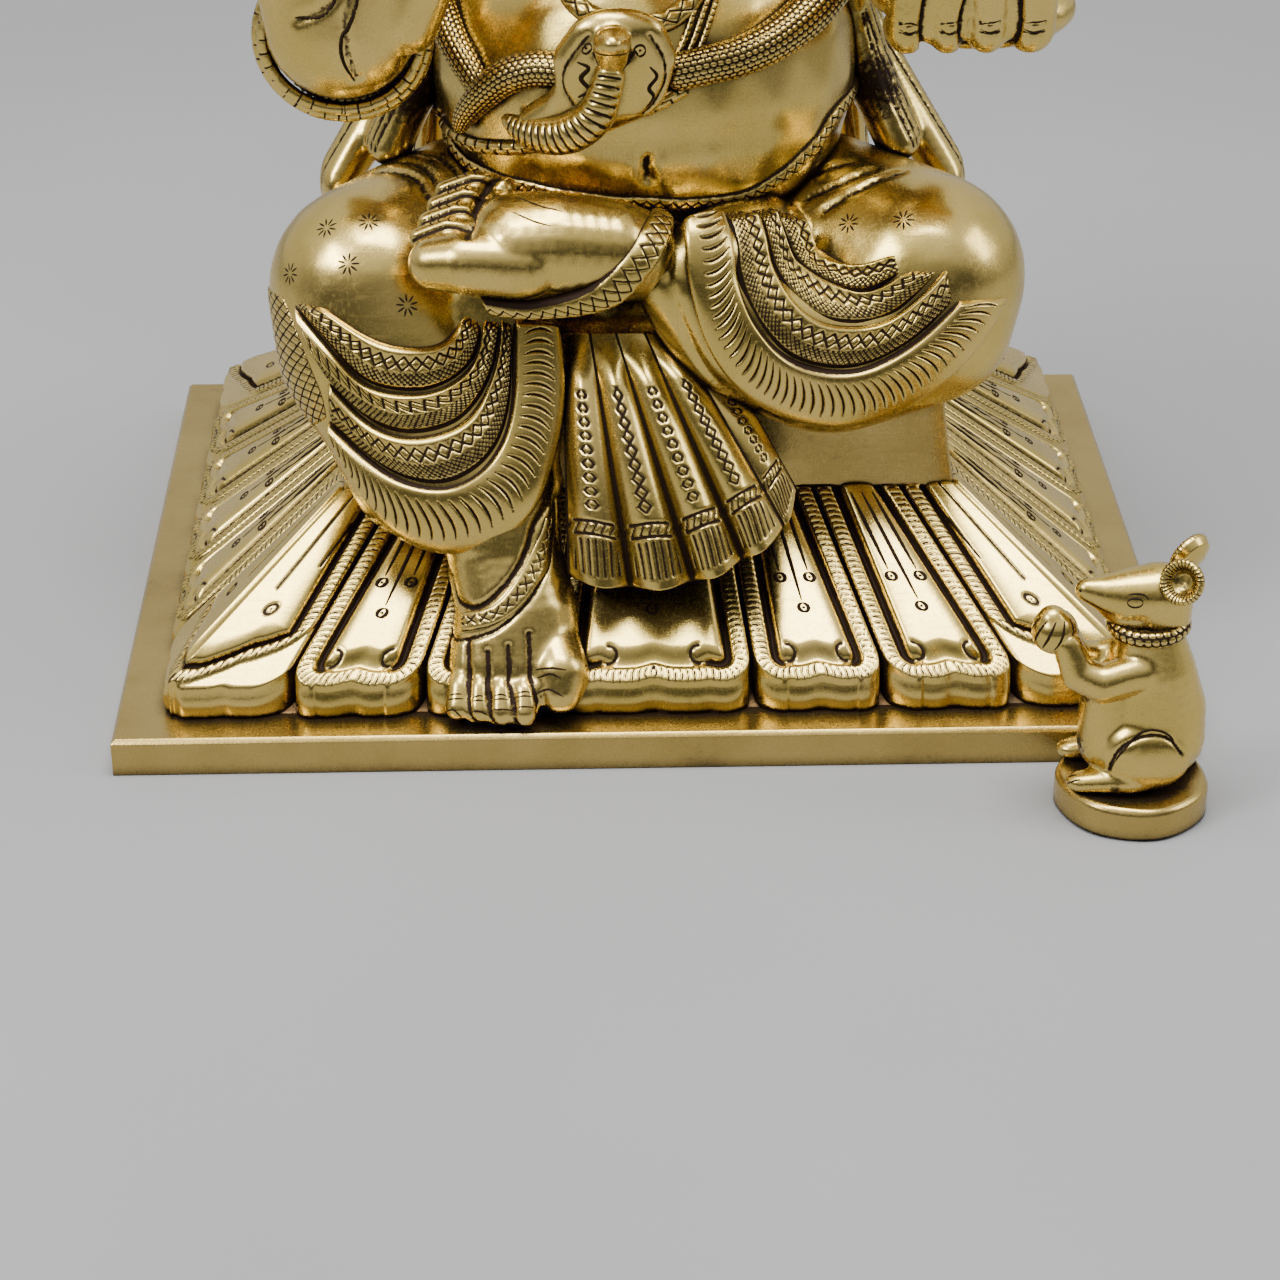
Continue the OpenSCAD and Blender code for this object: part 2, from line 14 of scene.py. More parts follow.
import bpy
import numpy as np
from mathutils.bvhtree import BVHTree
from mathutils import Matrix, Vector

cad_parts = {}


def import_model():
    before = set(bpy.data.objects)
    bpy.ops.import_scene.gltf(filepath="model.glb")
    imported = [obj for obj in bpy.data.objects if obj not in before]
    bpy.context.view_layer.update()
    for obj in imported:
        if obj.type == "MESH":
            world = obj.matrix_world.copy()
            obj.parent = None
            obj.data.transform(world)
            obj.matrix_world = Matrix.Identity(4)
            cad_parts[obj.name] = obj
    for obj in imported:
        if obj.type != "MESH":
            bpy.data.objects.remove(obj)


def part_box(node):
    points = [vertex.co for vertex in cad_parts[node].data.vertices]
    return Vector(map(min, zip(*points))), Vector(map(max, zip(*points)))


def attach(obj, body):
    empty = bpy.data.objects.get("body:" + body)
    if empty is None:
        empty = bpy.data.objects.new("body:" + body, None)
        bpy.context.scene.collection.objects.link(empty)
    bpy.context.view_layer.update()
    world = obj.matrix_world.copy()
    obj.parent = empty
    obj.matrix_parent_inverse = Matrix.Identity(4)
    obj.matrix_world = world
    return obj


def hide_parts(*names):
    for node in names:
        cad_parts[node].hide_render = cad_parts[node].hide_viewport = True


LOG = logging.getLogger("idol")
MM = 0.001
SEED = 7
# The patina attribute holds the patina and also the painted shade of the soft dark dabs.
PATINA_AND_SHADE = "patina"
Form = bpy.types.Object
Grid = np.ndarray
Marks = tuple[Grid, Grid]
Vec = tuple[float, float, float]
Rows = Sequence[Sequence[float]]
Relief = Callable[[Grid, Grid, Grid], Marks]


class Slot(Enum):
    """The record's material slots."""

    POLISHED = "polished_brass"
    CHASED = "chased_brass"
    STEEL = "steel_fixings"


# ---------------------------------------------------------------- shaping tools


def deselect() -> None:
    """Clears the selection, because operators act on all that is selected."""
    for obj in bpy.context.selected_objects:
        obj.select_set(False)


def pick(obj: Form) -> None:
    """Selects one object only, and makes it the active one."""
    deselect()
    bpy.context.view_layer.objects.active = obj
    obj.select_set(True)


def edit_all(obj: Form, *steps: Callable[[], object]) -> None:
    """Runs edit-mode operators on the whole mesh of one object.

    Args:
        obj: The mesh object.
        steps: Calls made in edit mode with everything selected.
    """
    pick(obj)
    bpy.ops.object.mode_set(mode="EDIT")
    bpy.ops.mesh.select_all(action="SELECT")
    for step in steps:
        step()
    bpy.ops.object.mode_set(mode="OBJECT")


def weld_and_orient(obj: Form) -> None:
    """Closes seams and poles, then points every face outwards."""
    edit_all(obj, lambda: bpy.ops.mesh.remove_doubles(threshold=2e-6),
        lambda: bpy.ops.mesh.normals_make_consistent(inside=False),)


def apply_modifier(obj: Form, kind: str, **values: object) -> None:
    """Adds one modifier and applies it at once.

    Args:
        obj: The mesh object.
        kind: The modifier's type.
        values: Its settings by name.
    """
    modifier = obj.modifiers.new(kind.lower(), kind)
    for name, value in values.items():
        setattr(modifier, name, value)
    pick(obj)
    bpy.ops.object.modifier_apply(modifier=modifier.name)


def read_points(obj: Form) -> Grid:
    """Returns a mesh's points in millimetres, one row each."""
    flat = np.empty(len(obj.data.vertices) * 3, np.float32)
    obj.data.vertices.foreach_get("co", flat)
    return flat.reshape(-1, 3).astype(float) / MM


def write_points(obj: Form, points: Grid) -> None:
    """Moves a mesh's points to the given places, in millimetres."""
    obj.data.vertices.foreach_set("co", (points * MM).astype(np.float32).ravel())
    obj.data.update()


def read_normals(obj: Form) -> Grid:
    """Returns a mesh's vertex normals, one row each."""
    flat = np.empty(len(obj.data.vertices) * 3, np.float32)
    obj.data.vertex_normals.foreach_get("vector", flat)
    return flat.reshape(-1, 3).astype(float)


def write_patina_and_shade(obj: Form, worn: Grid) -> None:
    """Stores how dark the patina and the painted shade lie at each point, from 0 to 1."""
    layer = obj.data.attributes.get(PATINA_AND_SHADE) or obj.data.attributes.new(PATINA_AND_SHADE, "FLOAT", "POINT")
    layer.data.foreach_set("value", np.clip(worn, 0, 1).astype(np.float32).ravel())


def smooth_shaded(obj: Form) -> None:
    """Shades one object smoothly."""
    pick(obj)
    bpy.ops.object.shade_smooth()


def skin(name: str, lattice: Grid, worn: Grid | None = None) -> Form:
    """Makes a mesh from a lattice of points; rows or columns that meet are welded.

    Args:
        name: Name of the piece.
        lattice: Points in millimetres, rows by columns by 3.
        worn: Patina at each point, rows by columns.

    Returns:
        The new object.
    """
    rows, columns = lattice.shape[:2]
    deselect()
    bpy.ops.mesh.primitive_grid_add(x_subdivisions=columns - 1, y_subdivisions=rows - 1, size=1)
    obj = bpy.context.active_object
    obj.name = obj.data.name = name
    write_points(obj, lattice.reshape(-1, 3))
    write_patina_and_shade(obj, np.zeros(rows * columns) if worn is None else worn)
    weld_and_orient(obj)
    smooth_shaded(obj)
    return obj


def capped(name: str, ring: Grid, dark: Grid) -> Form:
    """Makes a piece from rows that are each closed round it, with both of its ends filled.

    Args:
        name: Name of the piece.
        ring: Points in millimetres, rows by columns by 3.
        dark: Patina at each point, rows by columns.

    Returns:
        The new object.
    """
    caps = [np.repeat(ring[i].mean(0)[None, None], ring.shape[1], axis=1) for i in (0, -1)]
    return skin(name, np.concatenate([caps[0], ring, caps[1]]), np.concatenate([dark[:1], dark, dark[-1:]]))


def join(name: str, pieces: Sequence[Form]) -> Form:
    """Joins separate shells into one named piece.

    Args:
        name: Name of the joined piece.
        pieces: The objects to join.

    Returns:
        The joined object.
    """
    deselect()
    for piece in pieces:
        piece.select_set(True)
    bpy.context.view_layer.objects.active = pieces[0]
    if len(pieces) > 1:
        bpy.ops.object.join()
    obj = bpy.context.active_object
    obj.name = obj.data.name = name
    return obj


def spline(points: Rows, step: float) -> Grid:
    """Runs a smooth line through given points.

    Args:
        points: Places that the line passes; extra columns such as widths are carried along.
        step: Distance between the returned points, in millimetres.

    Returns:
        Evenly spaced points along the line.
    """
    p = np.array(points, float)
    p = np.vstack([2 * p[0] - p[1], p, 2 * p[-1] - p[-2]])
    t = np.linspace(0, 1, 24, endpoint=False)[:, None]
    runs = []
    for a, b, c, d in zip(p, p[1:], p[2:], p[3:]):
        runs.append(0.5 * (2 * b + (c - a) * t + (2 * a - 5 * b + 4 * c - d) * t**2 + (3 * b - a - 3 * c + d)
            * t**3))
    line = np.vstack(runs + [p[-2][None]])
    length = travel(line[:, :3])
    even = np.linspace(0, length[-1], max(3, int(round(length[-1] / step)) + 1))
    return np.stack([np.interp(even, length, line[:, k]) for k in range(line.shape[1])], 1)


def unit(v: Grid) -> Grid:
    """Scales vectors along the last axis to length one."""
    return v / np.maximum(np.linalg.norm(v, axis=-1, keepdims=True), 1e-9)


def travel(line: Grid) -> Grid:
    """Distance of each point from a line's start, measured along it."""
    return np.r_[0, np.cumsum(np.linalg.norm(np.diff(line, axis=0), axis=1))]


def relax(rows: Grid, rounds: int = 1) -> None:
    """Evens out the rows of an array between its first and last, in place."""
    for _ in range(rounds):
        rows[1:-1] = (rows[:-2] + rows[1:-1] + rows[2:]) / 3


def circle(count: int) -> Grid:
    """Evenly spaced angles once round, with both ends."""
    return np.linspace(0, 2 * pi, count)


def ease(low: float, high: float, x: Grid) -> Grid:
    """Rises smoothly from 0 at low to 1 at high."""
    t = np.clip((x - low) / (high - low), 0, 1)
    return t * t * (3 - 2 * t)


def cut(distance: Grid, width: float) -> Grid:
    """The shape of a chisel cut: 1 on its line, 0 beyond its width."""
    return np.exp(-((distance / (0.5 * width)) ** 2))


def saw(x: Grid) -> Grid:
    """Distance to the nearest whole number."""
    return np.abs(x - np.round(x))


def wobble(points: Grid, pitch: float, seed: int = SEED) -> Grid:
    """A gentle hand-made unevenness from a few sine waves.

    Args:
        points: Places, one row each, in millimetres.
        pitch: Rough size of the waves, in millimetres.
        seed: Seed of the waves' directions.

    Returns:
        Values between about -1 and 1.
    """
    rng = np.random.default_rng(seed)
    total = np.zeros(points.shape[:-1])
    for _ in range(5):
        way = unit(rng.normal(size=3)) * 2 * pi / (pitch * rng.uniform(0.7, 1.5))
        total += np.sin(points @ way + rng.uniform(0, 6.3))
    return total / 5


# ---------------------------------------------------------------- organic forms


def six(egg: Sequence[float]) -> Grid:
    """An egg's middle and its three radii, which may be given as one number."""
    return np.array([*egg, egg[3], egg[3]] if len(egg) == 4 else egg, float)


def limb(*eggs: Sequence[float]) -> list[Sequence[float]]:
    """Fills the way from each egg to the next with eggs in between.

    Args:
        eggs: The eggs that the limb passes.

    Returns:
        Closely spaced eggs.
    """
    filled = []
    for a, b in zip(map(six, eggs), map(six, eggs[1:])):
        gap = float(np.linalg.norm(b[:3] - a[:3]))
        steps = max(2, int(gap / (0.22 * min(a[3:].min(), b[3:].min()))))
        filled += [(1 - t) * a + t * b for t in np.linspace(0, 1, steps, endpoint=False)]
    return filled + [eggs[-1]]


def mirrored(eggs: Rows) -> list[Sequence[float]]:
    """The same eggs on the figure's other side."""
    return [(-egg[0], *egg[1:]) for egg in eggs]


def clay(name: str, eggs: Rows, voxel: float, passes: int = 6) -> Form:
    """Melts eggs into one closed, evenly meshed form.

    Args:
        name: Name of the form.
        eggs: Its lumps: a middle and a radius, or three radii, each.
        voxel: Mesh size in millimetres.
        passes: Rounds of smoothing.

    Returns:
        The new object.
    """
    deselect()
    bpy.ops.mesh.primitive_ico_sphere_add(subdivisions=3, radius=1)
    obj = bpy.context.active_object
    ball = np.empty(len(obj.data.vertices) * 3, np.float32)
    obj.data.vertices.foreach_get("co", ball)
    ball = unit(ball.reshape(-1, 3).astype(float))
    faces = np.array([p.vertices[:] for p in obj.data.polygons])
    points = np.vstack([ball * egg[3:] + egg[:3] for egg in map(six, eggs)])
    tris = np.vstack([faces + i * len(ball) for i in range(len(eggs))])
    mesh = bpy.data.meshes.new(name)
    mesh.from_pydata((points * MM).tolist(), [], tris.tolist())
    obj.data = mesh
    obj.name = name
    apply_modifier(obj, "REMESH", mode="VOXEL", voxel_size=voxel * MM, use_smooth_shade=True)
    apply_modifier(obj, "SMOOTH", iterations=passes, factor=0.5)
    write_patina_and_shade(obj, np.zeros(len(obj.data.vertices)))
    smooth_shaded(obj)
    return obj


class Ground:
    """The surface that strips lie on, made of one or more finished forms."""

    def __init__(self, *objects: Form) -> None:
        """Reads the forms' meshes.

        Args:
            objects: The forms, at the origin, unturned.
        """
        points, faces, start = [], [], 0
        for obj in objects:
            points.append(read_points(obj))
            faces += [[i + start for i in p.vertices] for p in obj.data.polygons]
            start += len(obj.data.vertices)
        self.tree = BVHTree.FromPolygons(np.vstack(points).tolist(), faces)

    def drop(self, points: Grid) -> Marks:
        """Finds the nearest places on the surface.

        Args:
            points: A lattice of points in millimetres.

        Returns:
            The places and the surface's outward directions there.
        """
        flat = points.reshape(-1, 3)
        hits = [self.tree.find_nearest(p) for p in flat.tolist()]
        places = np.array([h[0][:] for h in hits]).reshape(points.shape)
        normals = np.array([h[1][:] for h in hits]).reshape(points.shape)
        return places, normals


class Chisel:
    """Cuts and raises lines and dots on a form, and notes where patina gathers and where shade is painted."""

    def __init__(self, obj: Form) -> None:
        """Takes a form to work on."""
        self.obj = obj
        self.ground = Ground(obj)
        self.points = read_points(obj)
        self.normals = read_normals(obj)
        self.lift = np.zeros(len(self.points))
        self.worn = np.zeros(len(self.points))

    def line(self, points: Sequence[Vec], width: float, depth: float, worn: float = 1.0) -> None:
        """Cuts a groove, or raises a bead where depth is negative.

        Args:
            points: Places on the surface that the line passes.
            width: Width of the cut, in millimetres.
            depth: Depth of the cut, in millimetres.
            worn: Patina left in it.
        """
        path = self.ground.drop(np.array(points, float))[0]
        path = self.ground.drop(spline(path, max(0.5, 0.4 * width)))[0]
        relax(path)
        low, high = path.min(0) - 3 * width, path.max(0) + 3 * width
        near = np.where(((self.points > low) & (self.points < high)).all(1))[0]
        if not len(near):
            return
        away = np.full(len(near), 1e9)
        for start in range(0, len(path), 64):
            gaps = np.linalg.norm(self.points[near][:, None] - path[None, start:start + 64], axis=2)
            away = np.minimum(away, gaps.min(1))
        shape = cut(away, width)
        self.lift[near] -= depth * shape
        self.worn[near] = np.maximum(self.worn[near], worn * shape)

    def dab(self, at: Vec, radius: float, height: float, worn: float = 0.0) -> None:
        """Raises or sinks a round dab of the surface and darkens it: painted shade where it only darkens,
        patina where it is sunk.
        """
        middle = self.ground.drop(np.array([at], float))[0][0]
        shape = cut(np.linalg.norm(self.points - middle, axis=1), 2 * radius)
        self.lift += height * shape
        self.worn = np.maximum(self.worn, worn * shape)

    def finish(self) -> Form:
        """Moves the surface and returns the form."""
        write_points(self.obj, self.points + self.normals * self.lift[:, None])
        write_patina_and_shade(self.obj, self.worn)
        return self.obj


def engrave(name: str, ground: Ground, strokes: Sequence[tuple[Sequence[Vec], float]]) -> Form:
    """Lays fine dark strokes, pointed at both ends, level with a surface.

    Args:
        name: Name of the piece.
        ground: The surface.
        strokes: The places that each stroke passes, and its width.

    Returns:
        All the strokes as one piece.
    """
    pieces = []
    for number, (points, width) in enumerate(strokes):
        path, out = ground.drop(spline(ground.drop(np.array(points, float))[0], 0.5))
        relax(path)
        across = unit(np.cross(unit(np.gradient(path, axis=0)), out))
        wide = (width / 2 * np.sin(np.linspace(0.06, 0.94, len(path)) * pi) ** 0.6)[:, None]
        ring = np.stack([path + across * wide, path + out * 0.14, path - across * wide, path - out * 0.5,
            path + across * wide], axis=1)
        pieces.append(capped(f"{name}_{number}", ring, np.ones(ring.shape[:2])))
    return join(name, pieces)


# ---------------------------------------------------------------- chased reliefs
# Each takes s, the distance along a strip, v, from -1 to 1 across it, and its width, all lattices,
# and returns the height to add and the patina.


def plain(s: Grid, v: Grid, width: Grid) -> Marks:
    """A smooth strip with patina along its edges."""
    return 0 * s * v, ease(0.8, 1.0, np.abs(v)) + 0 * s


def ribs(pitch: float, depth: float, bow: float = 0.35, reach: float = 0.78, wide: float = 1.0) -> Relief:
    """Curved strokes across the strip.

    Args:
        pitch: Distance between strokes.
        depth: Their depth.
        bow: How far each stroke's middle runs ahead, in pitches.
        reach: How far across the strokes go, from 0 to 1.
        wide: Width of a stroke.

    Returns:
        The relief.
    """

    def relief(s: Grid, v: Grid, width: Grid) -> Marks:
        """The strokes' height and patina."""
        stroke = cut(saw(s / pitch + bow * v * v) * pitch, wide)
        stroke = stroke * (1 - ease(reach - 0.08, reach, np.abs(v)))
        edge = ease(0.86, 1.0, np.abs(v)) + 0 * s
        return -depth * stroke, np.maximum(0.95 * stroke, edge)

    return relief


def diamonds(pitch: float, depth: float, half: float = 0.6, cross: bool = False) -> Relief:
    """A chain of engraved diamonds, or of crosses.

    Args:
        pitch: Length of a diamond.
        depth: Depth of the lines.
        half: Half width of the chain, as a share of the strip's half width.
        cross: Leaves the chain open, as crosses.

    Returns:
        The relief.
    """

    def relief(s: Grid, v: Grid, width: Grid) -> Marks:
        """The chain's height and patina."""
        reach = half * width / 2
        across = np.abs(v) * width / 2
        zigzag = 2 * saw(s / pitch) * reach
        slant = 1 / np.sqrt(1 + (2 * reach / pitch) ** 2)
        line = cut((across - zigzag) * slant, 0.7)
        if cross:
            line = line * (saw(s / pitch) < 0.4)
        line = line * (across < reach + 0.7)
        edge = ease(0.8, 1.0, np.abs(v)) + 0 * s
        return -depth * line, np.maximum(0.95 * line, edge)

    return relief


def scales(pitch: float, depth: float, rows: int) -> Relief:
    """Small overlapping scales, or beads, in staggered rows.

    Args:
        pitch: Length of a scale.
        depth: Depth between scales.
        rows: Rows across the strip.

    Returns:
        The relief.
    """

    def relief(s: Grid, v: Grid, width: Grid) -> Marks:
        """The scales' height and patina."""
        row = v * rows / 2
        ring = np.hypot(saw(s / pitch + 0.5 * (np.round(row) % 2)), saw(row))
        gap = ease(0.3, 0.5, ring)
        return -depth * gap, 0.9 * gap

    return relief


def lay(name: str, base: Grid, normal: Grid, lift: Grid, worn: Grid, sink: float, skip: int) -> Form:
    """Makes a closed band that stands on a surface and is sunk a little into it.

    Args:
        name: Name of the piece.
        base: Its places on the surface, rows by columns by 3.
        normal: The surface's directions there.
        lift: Its height over the surface.
        worn: Its patina.
        sink: How deep its underside lies.
        skip: Every how many columns the underside has a point.

    Returns:
        The band.
    """
    top = base + normal * lift[..., None]
    under = (base - normal * sink)[:, ::-skip]
    ring = np.concatenate([top, under, top[:, :1]], axis=1)
    worn = worn + 0 * lift
    return capped(name, ring, np.concatenate([worn, np.ones(under.shape[:2]), worn[:, :1]], axis=1))


@dataclass(frozen=True)
class Strip:
    """A raised band that follows a given line over a surface.

    Each point of the line holds x, y, z, and the band's width there, in millimetres.
    """

    name: str
    line: Rows
    rise: float
    relief: Relief = plain
    step: float = 0.6
    across: int = 25
    sink: float = 1.5

    def make(self, ground: Ground) -> Form:
        """Builds the band on a surface.

        Args:
            ground: The surface.

        Returns:
            A closed band, sunk a little into the surface.
        """
        path = spline(self.line, self.step)
        width = path[:, 3]
        middle, up = ground.drop(path[:, :3])
        for _ in range(6):
            relax(middle)
            up[1:-1] = unit(up[:-2] + up[1:-1] + up[2:])
        side = unit(np.cross(unit(np.gradient(middle, axis=0)), up))
        s = travel(middle)
        v = np.linspace(-1, 1, self.across)
        coarse = np.linspace(-1, 1, 7)
        base, normal = ground.drop(middle[:, None] + side[:, None] * (coarse * 0.5)[None, :, None] * width[:,
            None, None])
        for _ in range(4):
            relax(base)
            normal[1:-1] = unit(normal[:-2] + normal[1:-1] + normal[2:])
            normal[:, 1:-1] = unit(normal[:, :-2] + normal[:, 1:-1] + normal[:, 2:])
        base, normal = stretch(base, coarse, v), unit(stretch(normal, coarse, v))
        height, worn = self.relief(s[:, None], v[None, :], width[:, None])
        ends = ease(0, 3.0, np.minimum(s, s[-1] - s))[:, None]
        hump = np.sqrt(np.clip(1 - v**2, 0, 1))
        lift = ends * (self.rise * hump[None] + height) - self.sink * (1 - ends)
        return lay(self.name, base, normal, lift, worn, self.sink, 6)


def stretch(lattice: Grid, old: Grid, new: Grid) -> Grid:
    """Resamples a lattice's columns smoothly.

    Args:
        lattice: Rows by columns by 3.
        old: Where the columns are now.
        new: Where they are wanted.

    Returns:
        Rows by len(new) by 3.
    """
    powers = np.vander(old, 5)
    weights = np.vander(new, 5) @ np.linalg.pinv(powers)
    return np.einsum("nc,rcd->rnd", weights, lattice)


@dataclass(frozen=True)
class Tube:
    """A round form along a line of x, y, z and radius, with relief round it.

    In the relief, v runs from -1 to 1 round the whole tube, with 0 at its front.
    """

    name: str
    line: Rows
    relief: Relief = plain
    step: float = 0.8
    around: int = 32
    closed: bool = False

    def make(self) -> Form:
        """Builds the tube, closed at both ends or joined into a ring."""
        path = spline(self.line, self.step)
        middle, radius = path[:, :3], path[:, 3]
        along = np.gradient(middle, axis=0)
        if self.closed:
            along[0] = along[-1] = middle[1] - middle[-2]
        along = unit(along)
        front = np.array((0.0, -1.0, 0.0))
        out = unit(front - along * (along @ front)[:, None])
        side = np.cross(along, out)
        s = travel(middle)
        v = np.linspace(-1, 1, self.around + 1)
        height, worn = self.relief(s[:, None], v[None, :], radius[:, None] * 2 * pi)
        turn = v * pi
        if not self.closed:
            ends = np.minimum(s, s[-1] - s)
            near = np.clip(ends / radius, 0, 1)
            radius = radius * np.sqrt(np.clip(1 - (1 - near) ** 2, 0.0, 1))
            height = height * near[:, None]
        reach = radius[:, None] + height
        lattice = (middle[:, None] + out[:, None] * (reach * np.cos(turn))[..., None] + side[:, None]
            * (reach * np.sin(turn))[..., None])
        return skin(self.name, lattice, worn + 0 * reach)


@dataclass(frozen=True)
class Lathe:
    """A turned form with relief: an outline of radius and height, turned round an axis.

    In the relief, s is the distance along the outline and v runs from -1 to 1 round the turn.
    """

    name: str
    at: Vec
    outline: Sequence[tuple[float, float]]
    relief: Relief = plain
    step: float = 0.8
    around: int = 96

    def make(self) -> Form:
        """Builds the turned form."""
        outline = dense([(r, z) for r, z in self.outline], self.step)
        s = travel(outline)
        v = np.linspace(-1, 1, self.around + 1)
        radius, z = outline[:, 0], outline[:, 1]
        height, worn = self.relief(s[:, None], v[None], radius[:, None] * 2 * pi)
        tangent = unit(np.gradient(outline, axis=0))
        keep = ease(0, 4, radius)[:, None]
        reach = radius[:, None] + height * tangent[:, 1:2] * keep
        level = z[:, None] - height * tangent[:, :1] * keep
        turn = v[None] * pi
        lattice = np.stack([self.at[0] + reach * np.sin(turn), self.at[1] - reach * np.cos(turn),
            self.at[2] + level + 0 * turn], axis=2)
        return skin(self.name, lattice, worn + 0 * reach)


def dense(points: Sequence[tuple[float, float]], step: float) -> Grid:
    """Fills a flat outline's straight runs with evenly spaced points."""
    runs = []
    for a, b in zip(points, points[1:]):
        count = max(1, int(math.dist(a, b) / step))
        runs.append(np.linspace(a, b, count, endpoint=False))
    return np.vstack(runs + [np.array(points[-1:])])


# ---------------------------------------------------------------- finishes


class Wiring:
    """Adds shader nodes to a tree and joins them up."""

    def __init__(self, tree: bpy.types.NodeTree) -> None:
        """Takes the tree to work on."""
        self.tree = tree

    def node(self, kind: str, settings: dict[str, object] | None = None, **inputs: object) -> bpy.types.Node:
        """Adds a node.

        Args:
            kind: Its type, without the Shader prefix.
            settings: Its properties by name.
            inputs: Values or sockets for its inputs; _ stands for a space and in3 for input number 3.

        Returns:
            The node.
        """
        node = self.tree.nodes.new("ShaderNode" + kind)
        for name, value in (settings or {}).items():
            setattr(node, name, value)
        for name, value in inputs.items():
            key = int(name[2:]) if name[:2] == "in" and name[2:].isdigit() else name.replace("_", " ")
            if isinstance(value, bpy.types.NodeSocket):
                self.tree.links.new(value, node.inputs[key])
            else:
                node.inputs[key].default_value = value
        return node

    def math(self, operation: str, a: object, b: object = 0.0, clamp: bool = False) -> bpy.types.NodeSocket:
        """Adds a sum, product or the like of two values and returns its socket."""
        return self.node("Math", {"operation": operation, "use_clamp": clamp}, in0=a, in1=b).outputs[0]

    def mix(self, share: object, a: object, b: object) -> bpy.types.NodeSocket:
        """Mixes two colours and returns the socket."""
        node = self.node("Mix", {"data_type": "RGBA"}, in0=share, in6=a, in7=b)
        return node.outputs[2]

    def ramp(self, value: object, low: float, high: float, start: float = 0.0,
            end: float = 1.0) -> bpy.types.NodeSocket:
        """Maps a value smoothly from one range to another and returns the socket."""
        node = self.node("MapRange", {"interpolation_type": "SMOOTHSTEP"}, Value=value)
        for key, number in (("From Min", low), ("From Max", high), ("To Min", start), ("To Max", end)):
            node.inputs[key].default_value = number
        return node.outputs[0]


class PatinaAndShadeGroup:
    """The shared node group that lays dark patina and painted shade over scratched, hand-rubbed brass."""

    NAME = "patina_and_painted_shade_over_brass"
    INPUTS = (("Bright", "NodeSocketColor"), ("Deep", "NodeSocketColor"), ("Dark", "NodeSocketColor"),
        ("Patina and painted shade", "NodeSocketFloat"), ("Cavity", "NodeSocketFloat"), ("Polish", "NodeSocketFloat"), ("Stain",
        "NodeSocketFloat"))
    OUTPUTS = (("Color", "NodeSocketColor"), ("Roughness", "NodeSocketFloat"), ("Metallic",
        "NodeSocketFloat"), ("Height", "NodeSocketFloat"))

    @classmethod
    def get(cls) -> bpy.types.NodeTree:
        """Returns the group, and builds it the first time."""
        return bpy.data.node_groups.get(cls.NAME) or cls.build()

    @classmethod
    def build(cls) -> bpy.types.NodeTree:
        """Builds the group."""
        tree = bpy.data.node_groups.new(cls.NAME, "ShaderNodeTree")
        for side, sockets in (("INPUT", cls.INPUTS), ("OUTPUT", cls.OUTPUTS)):
            for name, kind in sockets:
                tree.interface.new_socket(name, in_out=side, socket_type=kind)
        w = Wiring(tree)
        given = tree.nodes.new("NodeGroupInput").outputs
        place = w.node("TexCoord").outputs["Object"]
        cloud = w.node("TexNoise", None, Vector=place, Scale=26.0, Detail=4.0, Roughness=0.6)
        grit = w.node("TexNoise", None, Vector=place, Scale=420.0, Detail=3.0, Roughness=0.7)
        speck = w.node("TexNoise", None, Vector=place, Scale=1500.0, Detail=2.0, Roughness=0.6)
        brushed = []
        for scale, turn in (((60, 900, 700), 0.35), ((800, 70, 800), -0.5), ((900, 800, 60), 0.2)):
            lie = w.node("Mapping", None, Vector=place, Rotation=(turn, 0.4 * turn, turn), Scale=scale)
            brushed.append(w.node("TexNoise", None, Vector=lie.outputs[0], Scale=1.0, Detail=2.0).outputs[0])
        brush = w.math("MAXIMUM", w.math("MAXIMUM", brushed[0], brushed[1]), brushed[2])
        hollow = w.math("ADD", w.ramp(given["Cavity"], 0.20, 0.66), w.math("MULTIPLY", w.ramp(grit.outputs[0],
            0.5, 0.75), 0.12))
        stain = w.math("MULTIPLY", w.ramp(cloud.outputs[0], 0.5, 0.78), given["Stain"])
        patchy = w.math("MULTIPLY", w.math("SUBTRACT", grit.outputs[0], 0.5), 0.8)
        # Patina and painted shade from the attribute, broken up by grit.
        worn = w.ramp(w.math("ADD", given["Patina and painted shade"], patchy), 0.3, 0.8)
        # Darkness from hollow patina, from the attribute's patina and painted shade, and from stains.
        dirt_and_painted_shade = w.math("ADD", w.math("MAXIMUM", w.math("MULTIPLY", hollow, 0.9), worn), stain, clamp=True)
        brass = w.mix(w.ramp(cloud.outputs[0], 0.32, 0.68), given["Bright"], given["Deep"])
        tarnish = w.mix(w.ramp(dirt_and_painted_shade, 0.04, 0.42, 0.0, 0.8), brass, (0.09, 0.066, 0.04, 1))
        color = w.mix(w.ramp(dirt_and_painted_shade, 0.3, 0.8), tarnish, given["Dark"])
        rough = w.math("ADD", given["Polish"], w.math("MULTIPLY", w.ramp(brush, 0.5, 0.85), 0.10))
        rough = w.math("ADD", rough, w.math("MULTIPLY", w.ramp(dirt_and_painted_shade, 0.2, 0.9), 0.34))
        metal = w.ramp(dirt_and_painted_shade, 0.45, 1.0, 1.0, 0.35)
        height = w.math("ADD", w.math("MULTIPLY", brush, -0.10), w.math("MULTIPLY", grit.outputs[0], 0.12))
        height = w.math("ADD", height, w.math("MULTIPLY", w.math("MULTIPLY", speck.outputs[0], dirt_and_painted_shade), 0.5))
        out = tree.nodes.new("NodeGroupOutput")
        for name, socket in zip(("Color", "Roughness", "Metallic", "Height"), (color, rough, metal, height)):
            tree.links.new(socket, out.inputs[name])
        return tree


def fresh_material(name: str) -> tuple[bpy.types.Material, Wiring, bpy.types.Node]:
    """Makes a material with nodes and returns it with its wiring and its shader."""
    material = bpy.data.materials.new(name)
    material.use_nodes = True
    return material, Wiring(material.node_tree), material.node_tree.nodes["Principled BSDF"]


